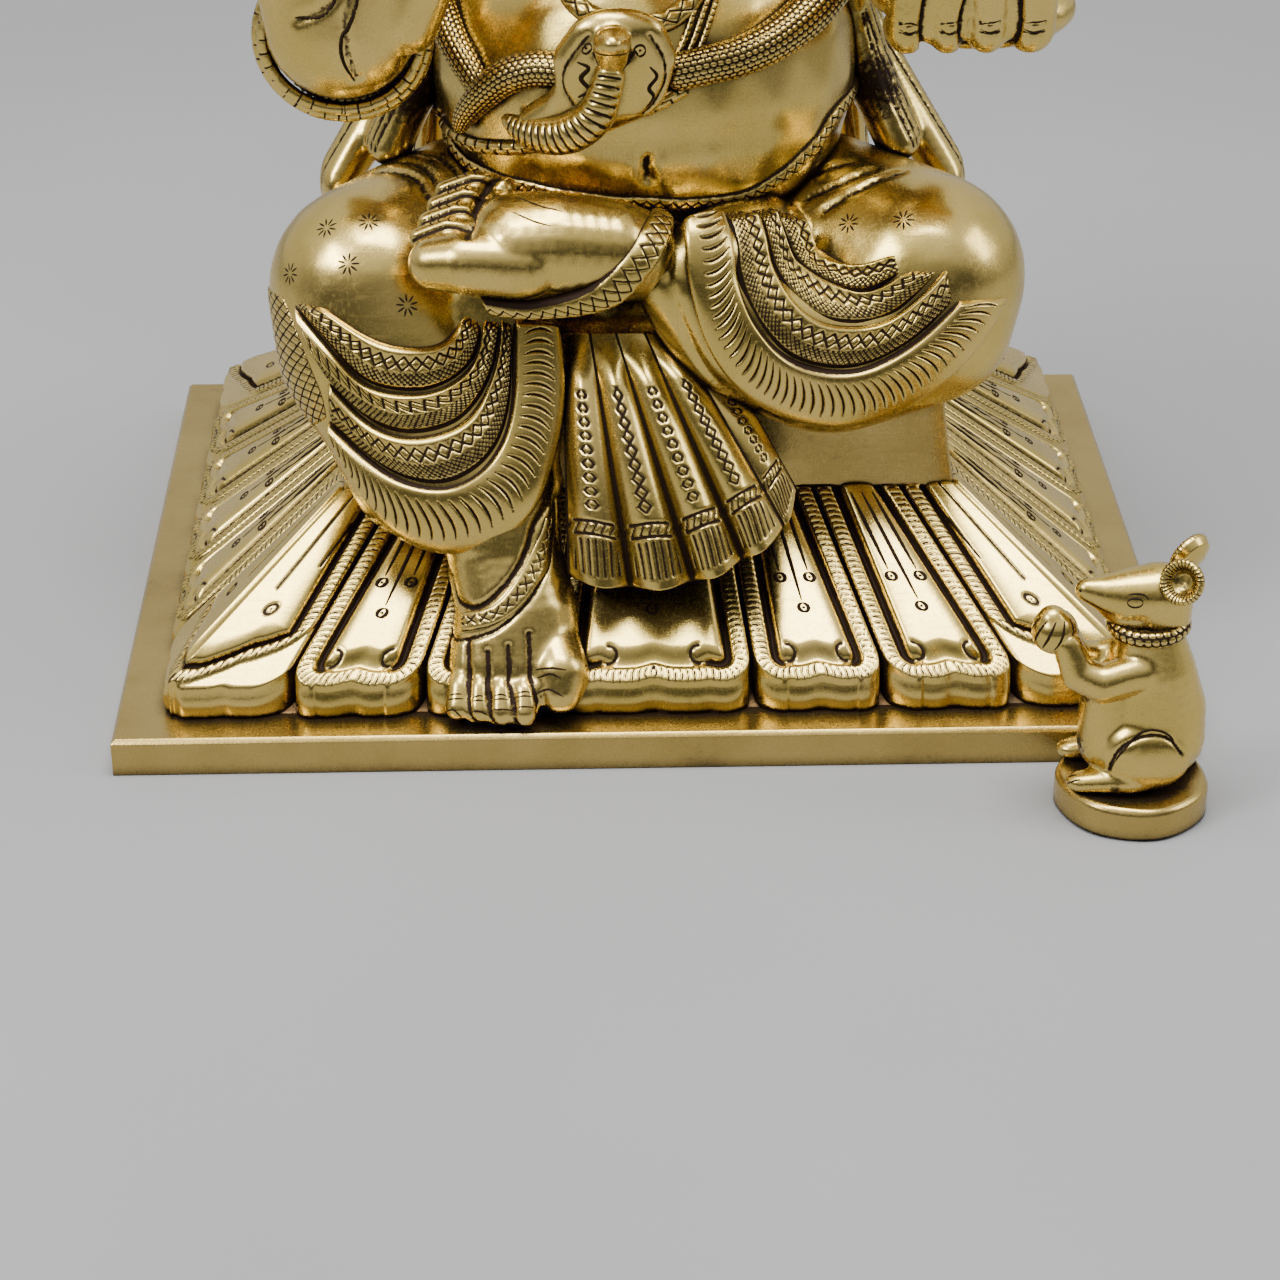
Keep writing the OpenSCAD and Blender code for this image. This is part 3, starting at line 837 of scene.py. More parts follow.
@dataclass(frozen=True)
class Brass:
    """One finish of the brass: its colours, its gloss and how much it is stained."""

    name: str
    bright: Vec = (0.73, 0.54, 0.17)
    deep: Vec = (0.63, 0.465, 0.12)
    dark: Vec = (0.022, 0.011, 0.006)
    polish: float = 0.25
    stain: float = 0.10
    reach: float = 0.0045
    bump: float = 0.35

    def build(self) -> bpy.types.Material:
        """Builds the finish's material."""
        if self.name in bpy.data.materials:
            return bpy.data.materials[self.name]
        material, w, shader = fresh_material(self.name)
        # The patina attribute, with the painted shade of the dark dabs in it.
        worn = w.node("Attribute", {"attribute_type": "GEOMETRY", "attribute_name": PATINA_AND_SHADE}).outputs["Fac"]
        open_air = w.node("AmbientOcclusion", {"samples": 6, "inside": False}, Distance=self.reach)
        cavity = w.math("SUBTRACT", 1.0, open_air.outputs["AO"])
        group = material.node_tree.nodes.new("ShaderNodeGroup")
        group.node_tree = PatinaAndShadeGroup.get()
        for key, value in (("Bright", (*self.bright, 1)), ("Deep", (*self.deep, 1)), ("Dark", (*self.dark,
                1)), ("Polish", self.polish), ("Stain", self.stain)):
            group.inputs[key].default_value = value
        links = material.node_tree.links
        links.new(worn, group.inputs["Patina and painted shade"])
        links.new(cavity, group.inputs["Cavity"])
        for out, into in (("Color", "Base Color"), ("Roughness", "Roughness"), ("Metallic", "Metallic")):
            links.new(group.outputs[out], shader.inputs[into])
        shader.inputs["Specular IOR Level"].default_value = 0.15
        bump = w.node("Bump", None, Height=group.outputs["Height"], Strength=self.bump, Distance=0.0006)
        links.new(bump.outputs[0], shader.inputs["Normal"])
        return material


@dataclass(frozen=True)
class Steel:
    """Zinc-grey steel of the tie bolts and washers."""

    name: str = "bolt_steel"

    def build(self) -> bpy.types.Material:
        """Builds the finish's material."""
        if self.name in bpy.data.materials:
            return bpy.data.materials[self.name]
        material, w, shader = fresh_material(self.name)
        place = w.node("TexCoord").outputs["Object"]
        mottle = w.node("TexNoise", None, Vector=place, Scale=180.0, Detail=4.0).outputs[0]
        fine = w.node("TexNoise", None, Vector=place, Scale=1600.0, Detail=2.0).outputs[0]
        links = material.node_tree.links
        links.new(w.mix(w.ramp(mottle, 0.35, 0.7), (0.56, 0.56, 0.55, 1), (0.36, 0.36, 0.37, 1)),
            shader.inputs["Base Color"])
        links.new(w.ramp(mottle, 0.3, 0.7, 0.3, 0.5), shader.inputs["Roughness"])
        shader.inputs["Metallic"].default_value = 1.0
        bump = w.node("Bump", None, Height=fine, Strength=0.3, Distance=0.0002)
        links.new(bump.outputs[0], shader.inputs["Normal"])
        return material


POLISHED = Brass("polished_brass_finish")
CHASED = Brass("chased_brass_finish", polish=0.24, stain=0.14, reach=0.004)
# Partly painted shade: the flat plate, block and stand faces get a darker copy of the brass, standing in for
# the dim reflections they show; their heavier stain and wider hollow patina are the metal's own.
FLATS = Brass("stained_flat_brass_painted_shade_finish", bright=(0.53, 0.385, 0.125), deep=(0.45, 0.32, 0.095), polish=0.27,
    stain=0.16, reach=0.008, bump=0.6)
# Painted shade: a far darker copy of the brass, for the lotus core that lies in shade below the petals and
# the seat block.
SHADOWED = Brass("lotus_core_painted_shade_brass_finish", bright=(0.24, 0.14, 0.055), deep=(0.12, 0.065, 0.025), polish=0.45,
    stain=0.7, bump=0.8)
BOLT_STEEL = Steel()


def dress(obj: Form, body: str, slot: Slot, finish: Brass | Steel, *nodes: str) -> Form:
    """Gives a finished piece its finish, its body and the CAD nodes that it stands for.

    Args:
        obj: The piece.
        body: The body that it rides on.
        slot: The record's slot; not used.
        finish: The finish.
        nodes: CAD nodes that the piece replaces.

    Returns:
        The piece.
    """
    obj.data.materials.clear()
    obj.data.materials.append(finish.build())
    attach(obj, body)
    if nodes:
        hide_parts(*nodes)
    LOG.info("%s: %d faces on %s", obj.name, len(obj.data.polygons), body)
    return obj


def raise_by(obj: Form, height: float) -> Form:
    """Lifts a piece's mesh, in millimetres."""
    points = read_points(obj)
    points[:, 2] += height
    write_points(obj, points)
    return obj


# ---------------------------------------------------------------- throne


class Rim(Enum):
    """How a petal's rim is chased."""

    STROKES = "curved strokes"
    PUNCHES = "rows of small punches"


@dataclass
class Throne:
    """Base plate, lotus, seat block and tie bolts, built from the frame's sizes."""

    plate_top: float
    half_x: float
    half_y: float
    lip_top: float
    lotus_top: float
    block_low: Grid
    block_high: Grid
    gap: float = 0.55
    tip_round: float = 11.0
    step: float = 0.62
    front_foot: tuple[float, ...] = (-0.757, -0.483, -0.208, 0.208, 0.483, 0.757)
    front_head: tuple[float, ...] = (-0.825, -0.536, -0.241, 0.241, 0.536, 0.825)
    side_foot: tuple[float, ...] = (-0.691, -0.346, 0.0, 0.346, 0.691)
    side_head: tuple[float, ...] = (-0.707, -0.353, 0.0, 0.353, 0.707)

    @classmethod
    def from_frame(cls) -> "Throne":
        """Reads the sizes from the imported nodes."""
        block = [np.array(corner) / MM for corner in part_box("seat_block")]
        front = [np.array(corner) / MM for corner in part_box("petals_front")]
        side = [np.array(corner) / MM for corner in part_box("petals_right")]
        plate = np.array(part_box("base_plate")[1]) / MM
        return cls(plate_top=plate[2], half_x=-side[0][0], half_y=-front[0][1], lip_top=plate[2] + 12,
            lotus_top=block[0][2], block_low=block[0], block_high=block[1])

    @property
    def run(self) -> float:
        """Level distance that the petals run in."""
        return self.half_y + self.block_low[1] - 1.5

    @property
    def length(self) -> float:
        """Length of the slope."""
        return math.hypot(self.run, self.lotus_top - self.lip_top)

    def chase(self, x: Grid, b: Grid, w: Grid, tip: Grid, rim: Rim) -> Marks:
        """Works out a petal's relief.

        Args:
            x: Distance from the petal's middle line.
            b: Distance up the slope.
            w: Half width of the petal at that height.
            tip: Where the petal's tip edge lies, as a distance up the slope.
            rim: How the rim is chased.

        Returns:
            Height over the slope and patina.
        """
        ax, up = np.abs(x), b - tip
        curve = self.tip_round
        from_side, corner_x = w - ax, w - curve
        in_corner = (ax > corner_x) & (b < curve)
        reach = np.hypot(ax - corner_x, curve - b)
        e = np.where(in_corner, curve - reach, np.minimum(from_side, np.maximum(up, 0)))
        angle = np.arctan2(curve - b, np.maximum(ax - corner_x, 1e-6))
        run = np.where(in_corner, curve - angle * 8, np.where(b >= curve, b, curve - 12.6 - (corner_x - ax)))
        trough, band = 8.0, 6.3
        inner = np.clip((w - trough - ax) / 8, 0, 1)
        panel = 2.3 * np.sqrt(np.clip(inner * (2 - inner), 0, 1)) * ease(trough - 1, trough + 6, up)
        dome = np.clip(1 - ((e - band / 2) / (band / 2)) ** 4, 0, 1)
        height = panel + 0.85 * np.sqrt(dome)
        fade = ease(0.40, 0.62, ax / w) + ease(12, 20, up)
        trench = cut(e - trough, 2.9) * np.clip(fade, 0, 1)
        hook = np.abs(np.hypot(ax - 0.47 * w, up - trough - 3.0) - 3.0)
        hook = cut(hook, 1.5) * (ax < 0.49 * w) * (ax > 0.2 * w) * ease(0.34, 0.46, ax / w + up / 90)
        height = height - 2.4 * trench - 0.8 * hook
        worn = np.maximum(trench, 0.9 * hook)
        if rim is Rim.STROKES:
            stroke = cut(saw((run + 0.10 * (e - band / 2) ** 2) / 2.25) * 2.25, 0.72)
            stroke = stroke * ease(0.5, 1.2, e) * (1 - ease(band - 1.2, band - 0.4, e))
            height, worn = height - 0.45 * stroke, np.maximum(worn, stroke)
        else:
            rows = [cut(np.hypot(saw(run / 2.4 + k) * 2.4, e - d), 1.3) for k, d in ((0, 1.6), (0.5, 3.8))]
            dots = np.maximum(*rows)
            lines = cut(saw(from_side / 1.5) * 1.5, 0.5) * ease(9, 12, e) * ease(26, 40, up) * 0.5
            height = height - 0.7 * dots - 0.3 * lines
            worn = np.maximum(worn, np.maximum(0.9 * dots, lines))
            tips = cut(saw(x / 2.2) * 2.2, 0.9) * (1 - ease(3, 5.5, up)) * ease(0.5, 1.2, up)
            height, worn = height - 0.6 * tips, np.maximum(worn, 0.8 * tips)
        edge = 1 - ease(0, 1.1, e)
        height = height - 0.8 * edge**2
        worn = np.maximum(worn, ease(0.85, 1.0, edge) * (from_side < up) * 0.9)
        return height, worn

    def petal(self, name: str, side: str, foot: tuple[float, float], head: tuple[float, float],
            rim: Rim) -> Form:
        """Builds one straight petal of a side.

        Args:
            name: Its name.
            side: front, back, right or left.
            foot: Its edges along the lip, from the side's middle, in millimetres.
            head: Its edges along the top.
            rim: How its rim is chased.

        Returns:
            A closed petal.
        """
        half = self.half_y if side in ("front", "back") else self.half_x
        count = int((foot[1] - foot[0]) / self.step)
        a = np.linspace(-1, 1, count)[None]
        w0, w1 = (foot[1] - foot[0]) / 2 - self.gap, (head[1] - head[0]) / 2 - self.gap
        c0, c1 = sum(foot) / 2, sum(head) / 2
        curve = self.tip_round
        ax = np.abs(a) * w0
        tip = np.where(ax > w0 - curve, curve - np.sqrt(np.clip(curve**2 - (ax - w0 + curve) ** 2, 0, None)),
            0)
        tip = tip + 1.7 * cut(a * w0, 9) + 0.65 * cut(ax - 0.55 * w0, 5)
        t = np.linspace(0, 1, int(self.length / self.step))[:, None]
        b = tip + (self.length + 2 - tip) * t
        share = b / self.length
        w = w0 + (w1 - w0) * share
        x = a * w
        height, worn = self.chase(x, b, w, tip, rim)
        x = x + c0 + (c1 - c0) * share
        slope = math.atan2(self.lotus_top - self.lip_top, self.run)
        along, high = cos(slope), sin(slope)
        y = -half + b * along - height * high
        z = self.lip_top + b * high + height * along
        drop = np.linspace(1, 0, 9)[:-1, None]
        foot_z = self.plate_top - 0.2
        lip_z = z[:1] - (z[:1] - foot_z) * drop
        swell = 1.2 * np.sin(np.clip((1 - drop) * 1.1, 0, 1) * pi)
        lip_y = y[:1] - swell - 0.8 * drop
        lip_worn = np.maximum(worn[:1] * 0.4, ease(0.72, 1.0, drop)) + 0 * lip_z
        x = np.vstack([np.repeat(x[:1], len(drop), 0), x])
        y, z, worn = np.vstack([lip_y, y]), np.vstack([lip_z, z]), np.vstack([lip_worn, worn])
        inward = np.array([0.0, high, -along])
        top = np.stack([x, y, z], axis=2)
        deep = np.full(len(x), 11.0)
        deep[: len(drop)] = 7.0
        push = np.where((np.arange(len(x)) < len(drop))[:, None], np.array([[0.0, 1.0, 0.0]]), inward[None])
        walls = [top[:, -1] + push * (deep * k)[:, None] for k in (0.35, 0.7, 1.0)]
        back = [top[:, 0] + push * (deep * k)[:, None] for k in (1.0, 0.7, 0.35)]
        ring = np.concatenate([top, np.stack(walls + back, axis=1), top[:, :1]], axis=1)
        dark = np.concatenate([worn, np.ones((len(x), 6)), worn[:, :1]], axis=1)
        made = self.closed(name, ring, dark, side)
        strokes = []
        for k, start in ((0.0, 0.40), (-0.34, 0.56), (0.34, 0.56)):
            stem = [(start + j * (1 - start)) * self.length for j in (0.02, 0.2, 0.5, 0.75, 0.97)]
            strokes.append(([(k, 0.0, up) for up in stem], 1.5))
            turn = circle(13)
            dot = [(k, 1.75 * sin(t), start * self.length - 2.0 + 1.75 * cos(t)) for t in turn]
            strokes += [(dot[:8], 1.5), (dot[6:], 1.5), ([(k, d, start * self.length - 2.0) for d in (-0.6, 0,
                0.6)], 1.3)]
        placed = []
        for points, width in strokes:
            spots = []
            for k, off, up in points:
                share = up / self.length
                across = k * (w0 + (w1 - w0) * share - 4) + off + c0 + (c1 - c0) * share
                spots.append((across, -half + up * along - 2.3 * high, self.lip_top + up * high + 2.3
                    * along))
            placed.append((np.stack(self.turn(np.array(spots), side), axis=1), width))
        return join(name, [made, engrave(name + "_stems", Ground(made), placed)])

    @staticmethod
    def turn(points: Grid, side: str) -> tuple[Grid, Grid, Grid]:
        """Turns places made for the front to another side."""
        x, y, z = points[..., 0], points[..., 1], points[..., 2]
        return {"front": (x, y), "back": (-x, -y), "right": (y, -x), "left": (-y, x)}[side] + (z,)

    def closed(self, name: str, ring: Grid, dark: Grid, side: str) -> Form:
        """Caps a petal's open ends and turns it to its side.

        Args:
            name: Its name.
            ring: Its rows, each closed round the petal, made for the front.
            dark: The patina at each point.
            side: front, back, right or left.

        Returns:
            The closed petal.
        """
        return capped(name, np.stack(self.turn(ring, side), axis=2), dark)

    def row(self, name: str, side: str, rim: Rim) -> Form:
        """Builds and dresses all the straight petals of one side."""
        long = side in ("front", "back")
        foot, head = (self.front_foot, self.front_head) if long else (self.side_foot, self.side_head)
        half = self.half_x if long else self.half_y
        feet = [f * half for f in foot]
        heads = [h * (half - self.run) for h in head]
        petals = [self.petal(f"{name}_{i}", side, feet[i:i + 2], heads[i:i + 2], rim) for i in range(len(feet)
            - 1)]
        return dress(join(name, petals), "idol", Slot.CHASED, CHASED, f"petals_{side}")

    def corner(self, name: str, sx: int, sy: int) -> Form:
        """Builds one petal folded over the ridge of a corner.

        Args:
            name: Its name.
            sx: -1 or 1 for the corner's side along X.
            sy: -1 or 1 for its side along Y.

        Returns:
            The closed petal.
        """
        length, run = self.length, self.run
        front = (self.front_foot[-1] * self.half_x + self.gap, self.front_head[-1] * (self.half_x - run)
            + self.gap)
        side = (self.side_foot[-1] * self.half_y + self.gap, self.side_head[-1] * (self.half_y - run)
            + self.gap)
        slope = math.atan2(self.lotus_top - self.lip_top, run)
        along, high = cos(slope), sin(slope)
        halves, darks = [], []
        for bounds, half_along, half_across in ((front, self.half_x, self.half_y), (side, self.half_y,
                self.half_x)):
            a = np.linspace(0, 1, 58)[None]
            w0 = half_along - bounds[0]
            ax = (1 - a) * w0
            curve = self.tip_round
            tip = np.where(ax > w0 - curve, curve - np.sqrt(np.clip(curve**2 - (ax - w0 + curve) ** 2, 0,
                None)), 0)
            tip = tip + 3.0 * ease(0.8, 1.0, a) + 0.9 * cut(ax - 0.5 * w0, 6)
            t = np.linspace(0, 1, int(length / self.step))[:, None]
            b = tip + (length + 2 - tip) * t
            share = b / length
            outer = bounds[0] + (bounds[1] - bounds[0]) * share
            ridge = half_along - run * share
            w = np.maximum(ridge - outer, 1)
            away = (1 - a) * w
            from_side, up = w - away, b - tip
            pointed = up - 0.55 * away + 1.0
            e = np.minimum(from_side, np.maximum(up, 0))
            leaf = np.minimum(from_side, np.maximum(pointed, 0))
            trough = 7.2
            inner = np.clip((leaf - trough) / 9, 0, 1)
            height = 2.6 * np.sqrt(np.clip(inner * (2 - inner), 0, 1))
            dome = np.clip(1 - ((leaf - 3.2) / 3.0) ** 4, 0, 1)
            trench = cut(leaf - trough, 2.4)
            spread = np.where(from_side < pointed, b, away)
            stroke = cut(saw((spread + 0.1 * (leaf - 3) ** 2) / 2.25) * 2.25, 0.72)
            stroke = stroke * ease(0.4, 1.2, leaf) * (1 - ease(5.2, 5.9, leaf))
            height = height + 1.1 * np.sqrt(dome) - 2.0 * trench - 0.4 * stroke
            worn = np.maximum(trench, stroke)
            for k, start in ((0.30, 0.50), (0.62, 0.62)):
                stem = cut(away - k * w, 1.1) * (b > start * length)
                height, worn = height - 0.4 * stem, np.maximum(worn, 0.9 * stem)
            spot = np.hypot(away - 0.42 * w, b - 0.40 * length)
            ring = np.maximum(cut(spot - 1.9, 1.2), cut(spot, 1.2))
            height, worn = height - 0.6 * ring, np.maximum(worn, ring)
            edge = 1 - ease(0, 1.6, e)
            height = (height - 1.1 * edge**2) * ease(-0.2, 1.2, away + 0.3)
            worn = np.maximum(worn, ease(0.55, 1, edge) * (from_side < up) * 0.8)
            x = ridge - away
            y = half_across - b * along + height * high
            z = self.lip_top + b * high + height * along
            drop = np.linspace(1, 0, 9)[:-1, None]
            lip_z = z[:1] - (z[:1] - self.plate_top + 0.2) * drop
            lip_y = y[:1] + 1.1 * np.sin(np.clip((1 - drop) * 1.1, 0, 1) * pi) * np.clip(away[:1] / 6, 0, 1)
            lip_worn = np.maximum(worn[:1] * 0.4, ease(0.72, 1.0, drop)) + 0 * lip_z
            x = np.vstack([np.repeat(x[:1], len(drop), 0), x])
            halves.append((x, np.vstack([lip_y, y]), np.vstack([lip_z, z])))
            darks.append(np.vstack([lip_worn, worn]))
        (fx, fy, fz), (gx, gy, gz) = halves
        first = np.stack([fx, fy, fz], axis=2)
        second = np.stack([gy, gx, gz], axis=2)[:, ::-1]
        seam = (first[:, -1:] + second[:, :1]) / 2
        top = np.concatenate([first[:, :-1], seam, second[:, 1:]], axis=1)
        worn = np.concatenate([darks[0][:, :-1], darks[0][:, -1:], darks[1][:, ::-1][:, 1:]], axis=1)
        sunk = []
        for edge, k in ((top[:, -1], 0.5), (top[:, -1], 1.0), (seam[:, 0], 1.0), (top[:, 0], 1.0), (top[:, 0],
                0.5)):
            inward = np.array([-high, -high, -along]) * 0.62
            lower = edge + inward * 11 * k
            lower[:9] = edge[:9] + np.array([-5.0, -5.0, 0.0]) * k
            sunk.append(lower)
        ring = np.concatenate([top, np.stack(sunk, axis=1), top[:, :1]], axis=1)
        dark = np.concatenate([worn, np.ones((len(top), 5)), worn[:, :1]], axis=1)
        ring = ring * np.array([sx, -1.0, 1.0]) if sy < 0 else ring * np.array([sx, 1.0, 1.0])
        return self.closed(name, ring, dark, "front")

    def corners(self) -> Form:
        """Builds and dresses the four corner petals."""
        pieces = [self.corner(f"corner_{sx}_{sy}".replace("-", "m"), sx, sy) for sx in (-1, 1) for sy in (-1,
            1)]
        return dress(join("folded_corner_petals", pieces), "idol", Slot.CHASED, CHASED, "petals_corner")

    def block(self) -> Form:
        """Builds the hand-filed seat block."""
        low, high = self.block_low, self.block_high
        middle, size = (low + high) / 2, high - low
        deselect()
        bpy.ops.mesh.primitive_cube_add(size=1)
        obj = bpy.context.active_object
        obj.name = obj.data.name = "filed_seat_block"
        points = read_points(obj) * MM
        shrink = np.where(points[:, 2:] > 0, (size[:2] - 9) / size[:2], 1.0)
        points[:, :2] *= shrink
        write_points(obj, points * size + middle)
        apply_modifier(obj, "BEVEL", width=1.8 * MM, segments=3)
        edit_all(obj, lambda: bpy.ops.mesh.subdivide(number_cuts=36))
        apply_modifier(obj, "TRIANGULATE")
        points = read_points(obj)
        ripple = wobble(points, 34) * 0.35 + wobble(points, 9, 3) * 0.10
        write_points(obj, points + read_normals(obj) * ripple[:, None])
        write_patina_and_shade(obj, 0.9 * (1 - ease(0.5, 3.5, points[:, 2] - low[2])))
        smooth_shaded(obj)
        return dress(obj, "idol", Slot.POLISHED, FLATS, "seat_block")

    def plate(self) -> Form:
        """Copies the drilled base plate and softens its edges."""
        source = bpy.data.objects["base_plate"]
        obj = source.copy()
        obj.data = source.data.copy()
        obj.name = obj.data.name = "soft_edged_base_plate"
        bpy.context.scene.collection.objects.link(obj)
        obj.hide_render = False
        obj.parent = None
        weld_and_orient(obj)
        edit_all(obj, lambda: bpy.ops.mesh.dissolve_limited(angle_limit=0.02))
        apply_modifier(obj, "BEVEL", width=0.9 * MM, segments=2, limit_method="ANGLE", angle_limit=0.5)
        edit_all(obj, lambda: bpy.ops.mesh.quads_convert_to_tris())
        write_patina_and_shade(obj, np.zeros(len(obj.data.vertices)))
        return dress(obj, "idol", Slot.POLISHED, FLATS, "base_plate")

    def build(self) -> None:
        """Builds the whole throne."""
        self.plate()
        for side, rim in (("front", Rim.STROKES), ("back", Rim.STROKES), ("right", Rim.PUNCHES),
                ("left", Rim.PUNCHES)):
            self.row(f"chased_petals_{side}", side, rim)
        self.corners()
        self.block()
        for node, finish in (("lotus_core", SHADOWED), ("tie_bolts", BOLT_STEEL), ("tie_washers",
                BOLT_STEEL)):
            kept = bpy.data.objects[node]
            kept.data.materials.clear()
            kept.data.materials.append(finish.build())


# ---------------------------------------------------------------- studio


@dataclass(frozen=True)
class Lamp:
    """A soft light: its place and the place it points at in metres, its size and its power."""

    name: str
    at: Vec
    aim: Vec
    size: tuple[float, float]
    watts: float

    def build(self) -> None:
        """Hangs the light."""
        data = bpy.data.lights.new(self.name, "AREA")
        data.shape, data.size, data.size_y = "RECTANGLE", *self.size
        data.energy = self.watts
        obj = bpy.data.objects.new(self.name, data)
        obj.location = self.at
        way = Vector(self.aim) - obj.location
        obj.rotation_euler = way.to_track_quat("-Z", "Y").to_euler()
        bpy.context.scene.collection.objects.link(obj)


@dataclass(frozen=True)
class Studio:
    """Camera, floor and lights."""

    lamps: tuple[Lamp, ...] = (Lamp("broad_overhead_softbox", (0.0, -0.25, 1.9), (0, -0.05, 0.1), (1.2, 0.8),
        50), Lamp("front_left_softbox", (-1.4, -0.9, 1.6), (0, 0, 0.15), (0.6, 0.6), 27), Lamp("right_fill",
        (1.7, -0.3, 1.1), (0, 0, 0.12), (0.6, 0.9), 10),)

    def camera(self) -> None:
        """Sets the camera up."""
        data = bpy.data.cameras.new("studio_camera")
        data.lens, data.sensor_width = 92.5, 36
        obj = bpy.data.objects.new("studio_camera", data)
        obj.location = (-0.033, -1.139, 0.600)
        obj.rotation_euler = (math.radians(61), 0, math.radians(-1.6))
        bpy.context.scene.collection.objects.link(obj)
        bpy.context.scene.camera = obj

    def floor(self) -> None:
        """Lays the pale floor."""
        deselect()
        bpy.ops.mesh.primitive_plane_add(size=60, location=(0, 0, 0))
        floor = bpy.context.active_object
        floor.name = "pale_floor"
        material, w, shader = fresh_material("pale_floor_paper")
        place = w.node("TexCoord").outputs["Object"]
        drift = w.node("TexNoise", None, Vector=place, Scale=2.5, Detail=3.0).outputs[0]
        tone = w.mix(w.ramp(drift, 0.3, 0.7), (0.275, 0.275, 0.278, 1), (0.297, 0.297, 0.3, 1))
        material.node_tree.links.new(tone, shader.inputs["Base Color"])
        shader.inputs["Roughness"].default_value = 0.7
        shader.inputs["Specular IOR Level"].default_value = 0.2
        floor.data.materials.append(material)

    def sky(self) -> None:
        """Fills the studio with a soft grey that is brighter above."""
        world = bpy.data.worlds.new("studio_world")
        bpy.context.scene.world = world
        world.use_nodes = True
        w = Wiring(world.node_tree)
        way = w.node("TexCoord").outputs["Generated"]
        parts = w.node("SeparateXYZ", None, Vector=way).outputs
        low = w.mix(w.ramp(parts["Y"], -0.7, 0.5), (0.08, 0.08, 0.08, 1), (1.25, 1.25, 1.25, 1))
        tone = w.mix(w.ramp(parts["Z"], 0.15, 0.95), low, (1.7, 1.7, 1.73, 1))
        back = world.node_tree.nodes["Background"]
        world.node_tree.links.new(tone, back.inputs["Color"])
        back.inputs["Strength"].default_value = 0.55

    def build(self) -> None:
        """Sets the studio up."""
        self.camera()
        self.floor()
        self.sky()
        for lamp in self.lamps:
            lamp.build()


# ---------------------------------------------------------------- figure
# The figure's places are measured from the middle of the seat's top.


